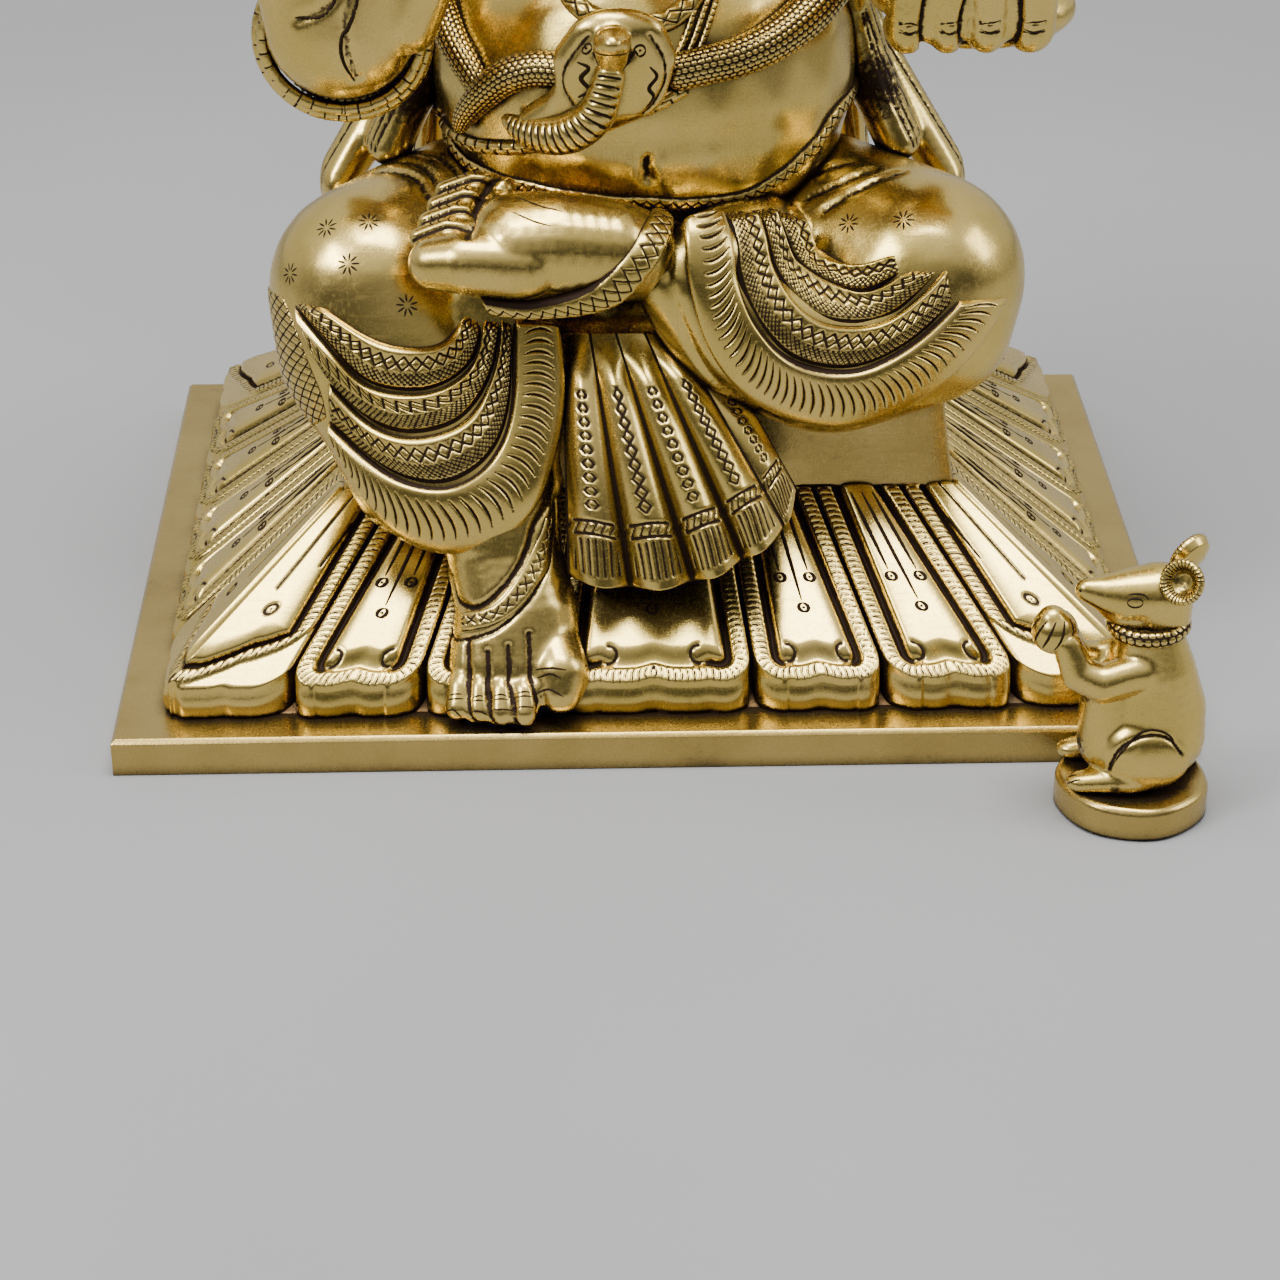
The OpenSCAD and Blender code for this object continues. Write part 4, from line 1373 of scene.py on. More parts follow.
@dataclass(frozen=True)
class Body:
    """The clay forms of the seated body, before any dress is laid on them."""

    voxel: float = 1.9

    def torso(self) -> Form:
        """Shapes pelvis, round belly, chest, shoulders and neck."""
        eggs = [(0, 10, 30, 92, 60, 38), (0, -6, 106, 77, 68, 66), (0, -8, 92, 74, 66, 52), (0, 6, 184, 72,
            50, 58), *limb((-60, 6, 220, 26), (60, 6, 220, 26)), *limb((0, 0, 225, 38, 36, 30), (0, -2, 262,
            36, 34, 30)), (-32, -30, 196, 30, 18, 26), (32, -30, 196, 30, 18, 26)]
        obj = clay("modelled_torso", eggs, self.voxel, 14)
        chisel = Chisel(obj)
        chisel.line([(-1, -75, 92), (-1.4, -76, 88), (0, -76, 84)], 3.6, 2.6, 0.9)
        chisel.line([(4, -75, 91), (3.4, -76, 87), (4, -76, 83)], 3.2, -0.7, 0.0)
        chisel.line([(-6, -75, 90), (-5.5, -76, 87), (-6, -76, 83)], 3.2, -0.6, 0.0)
        # Painted shade: soft dark dabs with no relief under the belly and at the hips below the sashes, where
        # shade falls.
        chisel.dab((0, -60, 62), 26.0, 0.0, 0.75)
        chisel.dab((-60, -40, 80), 14.0, 0.0, 0.7)
        chisel.dab((60, -40, 80), 12.0, 0.0, 0.6)
        chisel.line([(0, 56, 40), (0, 62, 90), (0, 54, 150), (0, 46, 200), (0, 38, 232)], 9, 3.0, 0.25)
        chisel.line([(-50, 30, 190), (-34, 48, 170), (-28, 52, 190), (-38, 44, 212)], 7, 1.6, 0.2)
        chisel.line([(50, 30, 190), (34, 48, 170), (28, 52, 190), (38, 44, 212)], 7, 1.6, 0.2)
        return chisel.finish()

    def right_leg(self) -> Form:
        """Shapes the thigh and shin of the leg that hangs."""
        eggs = [*limb((-46, 4, 38, 44, 42, 40), (-74, -28, 38, 42, 40, 40), (-97, -54, 38, 38, 37, 38),
            (-92, -66, 20, 40, 32, 36), (-80, -78, 0, 38, 27, 30), (-68, -94, -20, 38, 22, 24)),
            *limb((-54, -66, 44, 20, 22, 14), (-52, -76, 20, 22, 18, 18), (-50, -88, 0, 20, 16, 18),
            (-58, -100, -22, 24, 16, 20))]
        return clay("modelled_right_leg", eggs, self.voxel, 16)

    def left_leg(self) -> Form:
        """Shapes the thigh and shin of the leg that is folded."""
        eggs = [*limb((46, 4, 38, 44, 42, 40), (74, -28, 40, 42, 40, 38), (98, -54, 40, 37, 37, 38), (90, -66,
            26, 40, 30, 30), (64, -78, 20, 36, 25, 28), (34, -84, 32, 28, 20, 26), (10, -85, 52, 16, 16, 17)),
            *limb((20, -82, 58, 17, 15, 17), (36, -60, 56, 20, 24, 18))]
        chisel = Chisel(clay("modelled_left_leg", eggs, self.voxel, 16))
        # Painted shade: black dabs with no relief on the shin, under the crossed foot and beside the pleat
        # fan.
        for spot, size in (((0, -98, 46), 22), ((4, -96, 28), 22), ((20, -98, 6), 16), ((-4, -92, 62), 16),
                ((40, -90, -4), 14)):
            chisel.dab(spot, size, 0.0, 1.0)
        chisel.line([(4, -96, 68), (8, -102, 48), (14, -104, 28), (26, -104, 12)], 3.4, 1.6)
        return chisel.finish()

    def left_foot(self) -> Form:
        """Shapes the foot that lies on the other thigh."""
        eggs = [*limb((-4, -85, 62, 14, 15, 16), (-14, -88, 65, 18, 17, 18), (-32, -88, 67, 20, 19, 19),
            (-46, -87, 68, 18, 21, 17)), *limb((-46, -96, 64, 18, 14, 13), (-62, -100, 66, 15, 11, 11),
            (-74, -98, 65, 9, 9, 9))]
        toes = [(np.array((-55, -70, 83)) + k * np.array((-2.9, -6.3, -3.2))) for k in range(4)]
        for x, y, z in toes:
            eggs += limb((x + 4, y + 2, z - 3, 5.4), (x - 6, y + 1, z - 0.6, 4.7), (x - 15, y + 1, z - 3.4,
                4.2))
        obj = clay("modelled_left_foot", eggs, 0.95, 3)
        chisel = Chisel(obj)
        chisel.line([(-50, -66, 86), (-54, -72, 85), (-58, -80, 82), (-61, -88, 78), (-62, -95, 75),
            (-62, -101, 72)], 3.0, 3.0)
        for x, y, z in toes:
            chisel.line([(x + 2, y - 3, z + 2), (x - 6, y - 2.4, z + 2), (x - 18, y - 2, z - 3)], 1.7, 1.0)
        obj = chisel.finish()
        strokes = [([(x - 4 - k, y - 2, z + 5), (x - 5.4 - k, y + 1, z + 6), (x - 4.4 - k, y + 3, z + 5)],
            0.8) for x, y, z in toes for k in (0, 4.4, 7.4)]
        strokes += [([(-30, -98, 84), (-38, -95, 86), (-46, -88, 88)], 0.9), ([(-34, -102, 80), (-40, -101,
            82), (-47, -97, 84)], 0.8)]
        return join("carved_left_foot", [obj, engrave("toe_lines", Ground(obj), strokes)])

    def right_foot(self) -> Form:
        """Shapes the foot that stands on the plate."""
        eggs = [*limb((-54, -98, -28, 22, 18, 22), (-52, -104, -44, 21, 18, 18), (-48, -115, -60, 22, 17, 16),
            (-49, -127, -75, 24, 13, 13))]
        for x, size, reach in ((-68, 4.8, 0), (-61, 5.2, 2), (-53, 5.5, 3.5), (-45, 5.6, 4)):
            eggs += limb((x + 3, -124, -74, size), (x, -136 - reach, -79, size), (x - 1, -141 - reach, -84.5,
                size * 0.95))
        eggs += limb((-36, -122, -68, 10), (-33, -134, -76, 10.5, 10, 11.5), (-33, -138, -80, 8))
        obj = clay("modelled_right_foot", eggs, 1.1, 4)
        chisel = Chisel(obj)
        for a, b, c in (((-65, -130, -64), (-65, -143, -80), (-62, -149, -92)), ((-58, -134, -66), (-58, -144,
                -79), (-54, -149, -92)), ((-51, -134, -64), (-50, -144, -77), (-47, -149, -91)),
                ((-44, -131, -61), (-43, -141, -73), (-39, -147, -88))):
            chisel.line([a, b, c], 2.2, 1.5)
        chisel.line([(-36, -106, -22), (-41, -113, -27), (-44, -118, -35), (-49, -123, -42), (-56, -127, -48),
            (-63, -126, -53), (-70, -119, -54), (-72, -112, -48)], 2.4, 1.8)
        chisel.line([(-33, -104, -22), (-35, -116, -38), (-41, -125, -47), (-49, -131, -54), (-58, -132, -60),
            (-70, -127, -65), (-74, -118, -66)], 1.8, 1.1, 0.9)
        obj = chisel.finish()
        strokes = [([(x - r, y + 1, z + lift - 2), (x, y - 1, z + lift), (x + r, y + 1, z + lift - 2)],
            0.8) for x, y, z, r in ((-70, -143, -79, 2.8), (-62, -146, -78, 3.2), (-54, -147, -77, 3.4),
            (-46, -147, -76, 3.4)) for lift in (2.5, 0.4, -4.5)]
        strokes += [([(-37 - w, -141, z - 3), (-37, -144, z), (-37 + w, -141, z - 3)], 0.9) for z,
            w in ((-67, 6), (-70, 4.4), (-76, 4.6))]
        return join("carved_right_foot", [obj, engrave("nail_lines", Ground(obj), strokes)])


@dataclass(frozen=True)
class Band:
    """A raised band between two given lines, laid on a surface."""

    name: str
    inner: Sequence[Vec]
    outer: Sequence[Vec]
    rise: float
    relief: Relief = plain
    crown: float = 2.0
    lean: float = 0.0
    sink: float = 2.0
    taper: float = 4.0
    step: float = 0.42
    snap: float = 1.0

    def make(self, ground: Ground) -> Form:
        """Builds the band on a surface.

        Args:
            ground: The surface.

        Returns:
            A closed band whose edges sink into the surface.
        """
        lines = [spline(line, 0.5) for line in (self.inner, self.outer)]
        count = int(max(travel(line)[-1] for line in lines) / self.step)
        share = np.linspace(0, 1, count)
        lines = [np.stack([np.interp(share, np.linspace(0, 1, len(line)), line[:, k]) for k in range(3)],
            1) for line in lines]
        width = np.linalg.norm(lines[1] - lines[0], axis=1)
        v = np.linspace(-1, 1, max(9, int(width.max() / self.step)))
        coarse = np.linspace(-1, 1, 9)
        mix = ((coarse + 1) / 2)[None, :, None]
        guess = lines[0][:, None] * (1 - mix) + lines[1][:, None] * mix
        base, normal = ground.drop(guess)
        base = guess + (base - guess) * self.snap
        for _ in range(40):
            relax(base)
            normal[1:-1] = unit(normal[:-2] + normal[1:-1] + normal[2:])
            normal[:, 1:-1] = unit(normal[:, :-2] + normal[:, 1:-1] + normal[:, 2:])
        base, normal = stretch(base, coarse, v), unit(stretch(normal, coarse, v))
        s = travel(base[:, len(v) // 2])
        height, worn = self.relief(s[:, None], v[None, :], width[:, None])
        ends = ease(0, self.taper, np.minimum(s, s[-1] - s))[:, None]
        thin = np.clip(width / 6, 0, 1)[:, None]
        hump = np.clip(1 - np.abs(v - self.lean * (1 - v**2)) ** self.crown, 0, 1) ** (1 / self.crown)
        lift = ends * thin * (self.rise * hump[None] + height) - self.sink * (1 - ends)
        return lay(self.name, base, normal, lift, worn, self.sink, 4)


def shingle(pitch: float, middle: float = -0.22, half: float = 0.29, hatch: float = 1.8) -> Relief:
    """The chasing of one drape fold: a bright lip, a chain of diamonds and a hatched lower part.

    Args:
        pitch: Length of a diamond.
        middle: Where the chain runs across the fold, from -1 to 1.
        half: Half of the chain's width, on the same scale.
        hatch: Pitch of the hatching.

    Returns:
        The relief.
    """

    def relief(s: Grid, v: Grid, width: Grid) -> Marks:
        """The fold's height and patina."""
        scale = np.clip(width / 2, 1, None)
        across = np.abs(v - middle) * scale
        reach = half * scale
        slant = 1 / np.sqrt(1 + (2 * reach / pitch) ** 2)
        chain = cut((across - 2 * saw(s / pitch) * reach) * slant, 1.05) * (across < reach + 0.5)
        y = v * scale
        lines = np.maximum(cut(saw((s + y) / hatch) * hatch * 0.7, 0.62), cut(saw((s - y) / hatch) * hatch
            * 0.7, 0.62))
        low = middle + half
        zone = ease(low + 0.04, low + 0.12, v) * (1 - ease(0.70, 0.78, v))
        lip = cut(v + 0.66, 0.34)
        foot = ease(0.70, 0.82, v)
        crest = ease(0.84, 0.95, -v)
        height = 0.8 * lip - 0.55 * chain - 0.35 * lines * zone - 0.9 * foot - 1.0 * crest
        return height, np.maximum.reduce([0.9 * chain, 0.8 * lines * zone, foot + 0 * s, crest + 0 * s])

    return relief


def hem(pitch: float, length: float = 0.52) -> Relief:
    """The chasing of a wide hem: a dark inner groove, a bright lip, arc strokes and a smooth rim."""

    def relief(s: Grid, v: Grid, width: Grid) -> Marks:
        """The hem's height and patina."""
        w = (v + 0.12) / length
        arc = saw(s / pitch + 0.42 * w * w - 0.10 * w)
        wide = 0.27 * pitch * np.clip(1 - w * w, 0.03, 1) ** 0.6
        stroke = np.exp(-((arc * pitch / (0.5 * wide)) ** 2)) * (np.abs(w) < 1)
        inner = ease(0.82, 0.94, -v) + 0 * s
        outer = ease(0.95, 1.0, v) + 0 * s
        return -0.9 * stroke - 1.2 * inner, np.maximum.reduce([stroke, inner, outer])

    return relief


def lattice_lines(pitch: float) -> Relief:
    """Crossing slanted lines that leave raised diamonds all over."""

    def relief(s: Grid, v: Grid, width: Grid) -> Marks:
        """The lines' height and patina."""
        y = v * width / 2
        lines = np.maximum(cut(saw((s + 0.7 * y) / pitch) * pitch * 0.82, 0.9), cut(saw((s - 0.7 * y) / pitch)
            * pitch * 0.82, 0.9))
        edge = ease(0.9, 1, np.abs(v)) + 0 * s
        return -0.45 * lines * (1 - edge), np.maximum(0.8 * lines, 0.3 * edge)

    return relief


def chain(pitch: float) -> Relief:
    """Links that overlap like bricks along a cord."""

    def relief(s: Grid, v: Grid, width: Grid) -> Marks:
        """The links' height and patina."""
        side = (v > 0) * 0.5
        step = (s / pitch + side) % 1
        gap = cut(np.minimum(step, 1 - step) * pitch, 0.9)
        mid = cut(v * width / 2, 0.5)
        edge = ease(0.8, 1, np.abs(v)) + 0 * s
        return 0.5 * step - 0.5 * gap - 0.25 * mid, np.maximum.reduce([0.9 * gap, 0.6 * mid + 0 * s, edge])

    return relief


@dataclass(frozen=True)
class Drapery:
    """The dhoti's folds, hems and pleats over the legs."""

    right_cuts: tuple[tuple[Vec, ...], ...] = (((-113, -86, 45), (-95, -94, 36), (-80, -94, 33), (-71, -90,
        34), (-63, -84, 42)), ((-126, -76, 46), (-113, -90, 34), (-99, -98, 21), (-80, -100, 18), (-66, -95,
        22), (-59, -90, 31), (-57, -84, 42)), ((-114, -92, 22), (-99, -100, 8), (-84, -105, 4), (-67, -104,
        8), (-57, -96, 18), (-53, -91, 30), (-52, -85, 42)), ((-114, -89, 6), (-100, -103, -4), (-86, -111,
        -10), (-70, -113, -11), (-56, -108, -3), (-49, -100, 13), (-48, -86, 42)), ((-110, -92, 0),
        (-103, -102, -14), (-91, -110, -30), (-73, -114, -38), (-53, -114, -32), (-40, -111, -19), (-33, -100,
        -2), (-30, -92, 15), (-31, -84, 42)))
    left_cuts: tuple[tuple[Vec, ...], ...] = (((55, -64, 70), (57, -70, 63), (62, -73, 57), (72, -78, 55),
        (87, -82, 61)), ((43, -70, 76), (46, -78, 67), (51, -82, 58), (61, -84, 50), (74, -87, 48), (90, -86,
        56)), ((37, -74, 77), (40, -83, 68), (43, -89, 57), (50, -94, 47), (62, -97, 41), (80, -93, 40),
        (94, -89, 49), (104, -84, 59)), ((25, -80, 79), (28, -90, 68), (30, -97, 56), (37, -102, 42),
        (50, -104, 30), (70, -102, 26), (90, -96, 33), (108, -88, 47)), ((10, -84, 80), (11, -96, 72),
        (13, -102, 56), (19, -105, 36), (32, -104, 17), (49, -101, 6), (68, -101, 3), (91, -95, 9), (112, -89,
        26), (127, -75, 45)))

    def folds(self, name: str, cuts: tuple[tuple[Vec, ...], ...], ground: Ground, rise: float, pitch: float,
            snap: float) -> list[Form]:
        """Lays a fold between each line and the next, and a hem at the last."""
        made = [Band(f"{name}_fold_{i}", a, b, rise, shingle(4.6), 2.2, -0.2, taper=7, snap=snap).make(ground)
            for i, (a, b) in enumerate(zip(cuts[:-2], cuts[1:-1]))]
        made.append(Band(f"{name}_hem", cuts[-2], cuts[-1], rise + 1.6, hem(pitch), 2.6, 0.0, 3.0, 6,
            snap=0.35).make(ground))
        return made

    def pleats(self) -> Form:
        """Builds the fan of pleats that hangs between the legs."""
        heads = np.array([(-31, -78, 30), (-21, -83, 32), (-12, -85, 33), (-2, -85, 33), (9, -84, 31),
            (24, -78, 24)], float)
        feet = np.array([(-30, -114, -45), (-8, -119, -47), (13.6, -121, -44), (31, -119, -37), (46, -111,
            -29), (51, -100, -20)], float)
        per = 34
        u = np.linspace(0, 5, 5 * per + 1)
        low, part = np.minimum(u.astype(int), 4), u - np.minimum(u.astype(int), 4)
        t = np.linspace(0, 1, 190)[:, None]
        head = heads[low] * (1 - part)[:, None] + heads[low + 1] * part[:, None]
        foot = feet[low] * (1 - part)[:, None] + feet[low + 1] * part[:, None]
        base = head[None] * (1 - t[..., None]) + foot[None] * t[..., None]
        out = unit(np.array([0.0, -0.84, 0.54]))
        base = base + out * (7 * np.sin(t * pi * 0.9) ** 1.0)[..., None] * np.array([1, 1, 0.6])
        f = 2 * part - 1
        ridge = np.clip(1 - np.abs(f) ** 1.7, 0, 1) ** 0.85
        ridge = ridge * np.where(u > 4, 0.4, 1.0)
        tall = (2.5 + 6.5 * t) * ease(0.0, 0.22, t)
        s, wide = t * 92, (2.6 + 7.5 * t)
        turn = np.where(low % 2 == 0, 1.0, 0.0)[None]
        across = np.abs(f)[None] * wide
        reach = 0.24 * wide
        zig = 2 * saw(s / 5.2) * reach
        slant = 1 / np.sqrt(1 + (2 * reach / 5.2) ** 2)
        links = cut((across - zig) * slant, 1.0) * (across < reach + 0.5)
        links = links * np.where(turn > 0, saw(s / 5.2 + 0.5) < 0.36, 1.0) * (t > 0.22) * (t < 0.74)
        cuffs = np.maximum(cut(s - 71.5, 1.5), cut(s - 76.5, 1.5)) * (np.abs(f)[None] < 0.72)
        teeth = cut(saw((f[None] * wide + 0.5 * (s - 74)) / 2.6) * 2.6, 0.8) * (s > 72.3) * (s < 75.8)
        fringe = cut(saw(f[None] * wide / 2.3) * 2.3, 0.9) * (s > 78) * (s < 89) * (np.abs(f)[None] < 0.72)
        valley = np.maximum(ease(0.86, 0.97, np.abs(f))[None] + 0 * t, 0.35 * (1 - ease(0.0, 0.2, t)))
        side = ease(0.5, 0.8, np.abs(f))[None] * 0.22
        lift = tall * ridge[None] - 0.45 * links - 0.7 * cuffs - 0.5 * teeth - 0.6 * fringe
        worn = np.maximum.reduce([0.95 * links, cuffs, teeth, 0.95 * fringe, valley + 0 * s, side + 0 * s])
        worn = np.where(u[None] > 4, np.maximum(worn, 0.25), worn)
        top = base + out * lift[..., None]
        scallop = (4.5 * (1 - f**2))[None, :, None] * ease(0.86, 1.0, t)[..., None]
        top = top + np.array([0.0, -0.3, -1.0]) * scallop
        under = (base - out * (3 + 6 * t)[..., None])[:, ::-6]
        ring = np.concatenate([top, under, top[:, :1]], axis=1)
        dark = np.concatenate([worn, np.ones(under.shape[:2]), worn[:, :1]], axis=1)
        roll = ring[-1:] * 0.5 + np.concatenate([base[-1:] - out * 3, (base[-1:] - out * 6)[:, ::-6],
            base[-1:, :1] - out * 3], axis=1) * 0.5
        roll = roll + np.array([0.0, 0.0, -1.5])
        last = np.concatenate([base[-1:] - out * 6, (base[-1:] - out * 6)[:, ::-6], base[-1:, :1] - out * 6],
            axis=1)
        first = np.repeat(ring[0].mean(0)[None, None], ring.shape[1], axis=1)
        lattice = np.concatenate([first, ring, roll, last])
        dark = np.concatenate([dark[:1], dark, np.full((1, ring.shape[1]), 0.7), np.ones((1, ring.shape[1]))])
        return skin("pleat_fan_cloth", lattice, dark)


@dataclass(frozen=True)
class Figure:
    """The seated figure: clay forms dressed with chased bands, all lifted onto the seat."""

    seat: float

    def place(self, node: str, slot: Slot, *pieces: Form, name: str = "") -> None:
        """Joins forms into one casting, lifts it onto the seat and dresses it."""
        obj = raise_by(join(name or node + "_casting", pieces), self.seat)
        dress(obj, "idol", slot, POLISHED if slot is Slot.POLISHED else CHASED, node)

    def build(self) -> None:
        """Builds the whole figure."""
        body, dhoti = Body(), Drapery()
        torso, right, left = body.torso(), body.right_leg(), body.left_leg()
        foot, standing = body.left_foot(), body.right_foot()
        chisel = Chisel(right)
        right_stars = sunbursts("right_stars", Ground(right), ((-125, -74, 52), (-104, -83, 59), (-84, -89,
            46), (-112, -71, 68), (-97, -72, 70)))
        for ridge in (((-92, -24, 76), (-80, -36, 79), (-72, -50, 76)), ((-95, -36, 76), (-82, -45, 78),
                (-76, -56, 75)), ((-90, -14, 75), (-76, -26, 78), (-66, -40, 75))):
            chisel.line(ridge, 3.0, 1.6, 0.9)
        chisel.finish()
        chisel = Chisel(left)
        left_stars = sunbursts("left_stars", Ground(left), ((70, -65, 65), (88, -74, 70)))
        for ridge in (((56, -48, 66), (68, -48, 73), (80, -44, 76)), ((62, -56, 66), (74, -54, 73), (90, -48,
                77)), ((50, -38, 68), (62, -38, 74), (74, -36, 77))):
            chisel.line(ridge, 2.6, 1.5, 0.8)
        chisel.finish()
        legs = Ground(right), Ground(left)
        ankles = Ground(left, foot)
        trunk_ground = Ground(torso)
        flank = Band("hatched_flank", ((-128, -72, 45), (-120, -84, 30), (-114, -90, 15), (-112, -90, 2)),
            ((-136, -52, 42), (-130, -62, 26), (-122, -70, 10), (-112, -78, -4)), 0.7, lattice_lines(4.2),
            4.0)
        ankle_hem = Band("ankle_hem", ((1, -78, 76), (-4, -94, 76), (-9, -102, 70), (-23, -107, 57),
            (-40, -107, 51), (-60, -106, 54)), ((9, -76, 74), (7, -96, 72), (2, -104, 65), (-12, -108, 50),
            (-34, -107, 44), (-58, -104, 47)), 2.8, diamonds(4.6, 0.5, 0.62), 2.2, snap=0.5)
        anklet = Band("foot_band", ((-37, -108, -24), (-40, -114, -31), (-45, -121, -39), (-51, -127, -46),
            (-58, -128, -52), (-70, -122, -57)), ((-33, -106, -25), (-35, -117, -40), (-41, -125, -46),
            (-49, -130, -53), (-58, -131, -58), (-71, -126, -63)), 1.3, diamonds(4.8, 0.4, 0.5, True), 3.0)
        self.place("right_leg", Slot.CHASED, right, right_stars, *dhoti.folds("right", dhoti.right_cuts,
            legs[0], 2.8, 4.0, 1.0), flank.make(legs[0]))
        self.place("left_leg", Slot.CHASED, left, left_stars, *dhoti.folds("left", dhoti.left_cuts, legs[1],
            2.6, 3.4, 0.4))
        self.place("left_foot", Slot.POLISHED, foot, ankle_hem.make(ankles))
        self.place("right_foot", Slot.POLISHED, standing, anklet.make(Ground(standing)))
        self.place("pleat_fan", Slot.CHASED, dhoti.pleats())
        belt = Strip("diamond_belt", ((-70, -18, 84, 6), (-62, -37, 78, 6), (-44, -57, 77, 6), (-25, -67, 76,
            6), (1, -70, 75, 6), (26, -65, 73, 6), (38, -60, 75, 6), (51, -54, 81, 6.5), (61, -44, 89, 6.5),
            (68, -34, 96, 6.5), (78, 4, 98, 6.5), (64, 38, 94, 6.5), (30, 56, 90, 6.5), (-10, 60, 88, 6.5),
            (-46, 50, 88, 6.5), (-72, 20, 88, 6.5), (-76, -6, 86, 6)), 2.4, diamonds(4.4, 0.5, 0.66), 0.5, 19)
        cord = Strip("brick_cord", ((-73, -20, 88, 5), (-66, -35, 87, 5), (-52, -53, 90, 5.5), (-37, -64, 95,
            5.5), (-23, -70, 102, 5.5), (-9, -73, 108, 5.5), (2, -74, 112, 5), (14, -71, 118, 5)), 2.6,
            chain(6.2), 0.5, 17)
        necklace = Strip("linked_necklace", ((-44, -24, 226, 7), (-42, -44, 196, 7), (-36, -52, 166, 7),
            (-28, -58, 147, 7), (-17, -63, 139, 7.5), (-4, -65, 137, 8), (8, -63, 139, 7.5), (18, -58, 148,
            7), (28, -54, 166, 7), (38, -46, 196, 7), (42, -26, 226, 7)), 2.8, diamonds(6.4, 0.6, 0.62), 0.55,
            21)
        inner = Strip("pearl_necklace", ((-36, -22, 232, 5), (-30, -44, 200, 5), (-18, -54, 176, 5),
            (0, -57, 168, 5), (18, -54, 176, 5), (30, -44, 200, 5), (36, -22, 232, 5)), 2.6, scales(4.4, 1.2,
            1), 0.5, 15)
        threads = [Strip(f"thread_strand_{i}", ((52 + k, -16, 228, 2.6), (44 + k, -38, 200, 2.6),
            (30 + k, -54, 166, 2.6), (20 + k, -60, 144, 2.6), (14 + k, -67, 130, 2.6), (8 + k, -73, 120,
            2.6)), 1.9, ribs(2.4, 0.25, 0.8, 1.0, 0.7), 0.5, 9) for i, k in enumerate((-3.2, 0.0, 3.2))]
        back_thread = Strip("thread_behind", ((50, 8, 234, 6), (36, 42, 210, 6), (0, 58, 170, 6), (-40, 52,
            130, 6), (-74, 14, 100, 6), (-74, -18, 88, 5)), 2.0, ribs(2.4, 0.3, 0.8, 1.0, 0.7), 0.6, 11)
        self.place("torso", Slot.POLISHED, torso, name="belly_casting")
        for name, strips, node in (("waist_belt_casting", [belt], "waist_belt"), ("necklace_casting",
                [necklace, inner], "necklace"), ("sacred_thread_casting", [*threads, cord, back_thread],
                "sacred_thread")):
            self.place(node, Slot.CHASED, *[s.make(trunk_ground) for s in strips], name=name)
        self.serpent()
        self.arms()
        self.hands()
        self.head()
        self.crown()

    def serpent(self) -> None:
        """Builds the serpent that is knotted round the belly."""
        scaled = scales(2.3, 0.42, 21)
        body = Tube("serpent_coil", ((4, -72, 122, 6.5), (19, -71, 125, 6.6), (31, -68, 127, 6.8), (44, -61,
            131, 7.2), (56, -50, 137, 7.8), (68, -30, 145, 8), (77, -4, 150, 8), (66, 32, 152, 8),
            (34, 56, 150, 8), (0, 62, 148, 8), (-34, 54, 144, 8), (-64, 30, 140, 8), (-75, 0, 136, 7.4),
            (-72, -20, 131, 6.8), (-66, -39, 122, 6), (-60, -49, 114, 5.2), (-56, -54, 107, 4)), scaled, 0.5,
            84)
        loop = Tube("serpent_loop", ((-66, -44, 93, 2.5), (-63, -50, 101, 4.4), (-57, -56, 110, 5.6),
            (-49, -61, 118, 6.2), (-39, -65, 122, 6.4), (-28, -69, 122, 6.2), (-16, -72, 120, 5)), scaled,
            0.5, 72)

        def scutes(s: Grid, v: Grid, width: Grid) -> Marks:
            """Ribs across the neck's front only."""
            front = 1 - ease(0.26, 0.34, np.abs(v))
            stroke = cut(saw(s / 3.1 + 3.0 * v * v) * 3.1, 1.1) * front * (s > 5)
            return -0.6 * stroke, 0.95 * stroke

        neck = Tube("serpent_neck", ((-50, -64, 105, 1.6), (-44, -70, 103, 4.6), (-36, -77, 103, 6.4),
            (-27, -83, 106, 7.0), (-19, -87, 113, 6.6), (-15, -88, 123, 5.6), (-13, -88, 133, 5.0)), scutes,
            0.55, 44)
        hood = clay("hood", [*limb((-36, -71, 106, 9, 6, 7), (-22, -76, 112, 15, 6.5, 10), (-13, -80, 120, 19,
            7, 12), (-12, -81, 131, 21, 7, 13), (-11, -82, 139, 17, 6.5, 10)), *limb((-13, -88, 133, 5.4, 5,
            5), (-13, -91.5, 140, 6.4, 6.4, 5.6), (-13, -94.5, 141, 4.2, 5, 3.8))], 0.9, 5)
        chisel = Chisel(hood)
        chisel.line([(-26, -84, 116), (-30, -84, 124), (-27, -86, 133), (-21, -87, 141)], 1.8, 0.9, 0.8)
        chisel.line([(-2, -84, 112), (5, -84, 122), (5, -86, 132), (0, -87, 141)], 1.8, 0.9, 0.8)
        chisel.line([(-18, -87, 135), (-12, -88, 131), (-6, -87, 135)], 2.4, 1.2, 1.0)
        hood = chisel.finish()
        strokes = [([(-25, -88, 132), (-21, -89, 130), (-24, -89, 126), (-21, -89, 122), (-25, -88, 119)],
            1.7), ([(0, -88, 130), (3, -88, 126), (0, -88, 122), (3, -88, 118), (0, -87, 114)], 1.5),
            ([(-18, -93, 138), (-13, -99, 137), (-8, -93, 138)], 0.9)]
        for x, z in ((-22, 137), (-3.5, 136)):
            ring = [(x + 2 * cos(a), -88.5, z + 2 * sin(a)) for a in circle(11)]
            strokes += [(ring[:7], 1.0), (ring[5:], 1.0), ([(x - 0.5, -88.5, z), (x, -88.5, z), (x + 0.5,
                -88.5, z)], 1.2)]
        marks = engrave("hood_lines", Ground(hood), strokes)
        self.place("serpent_body", Slot.CHASED, body.make(), loop.make())
        self.place("serpent_hood", Slot.CHASED, hood, marks, neck.make())

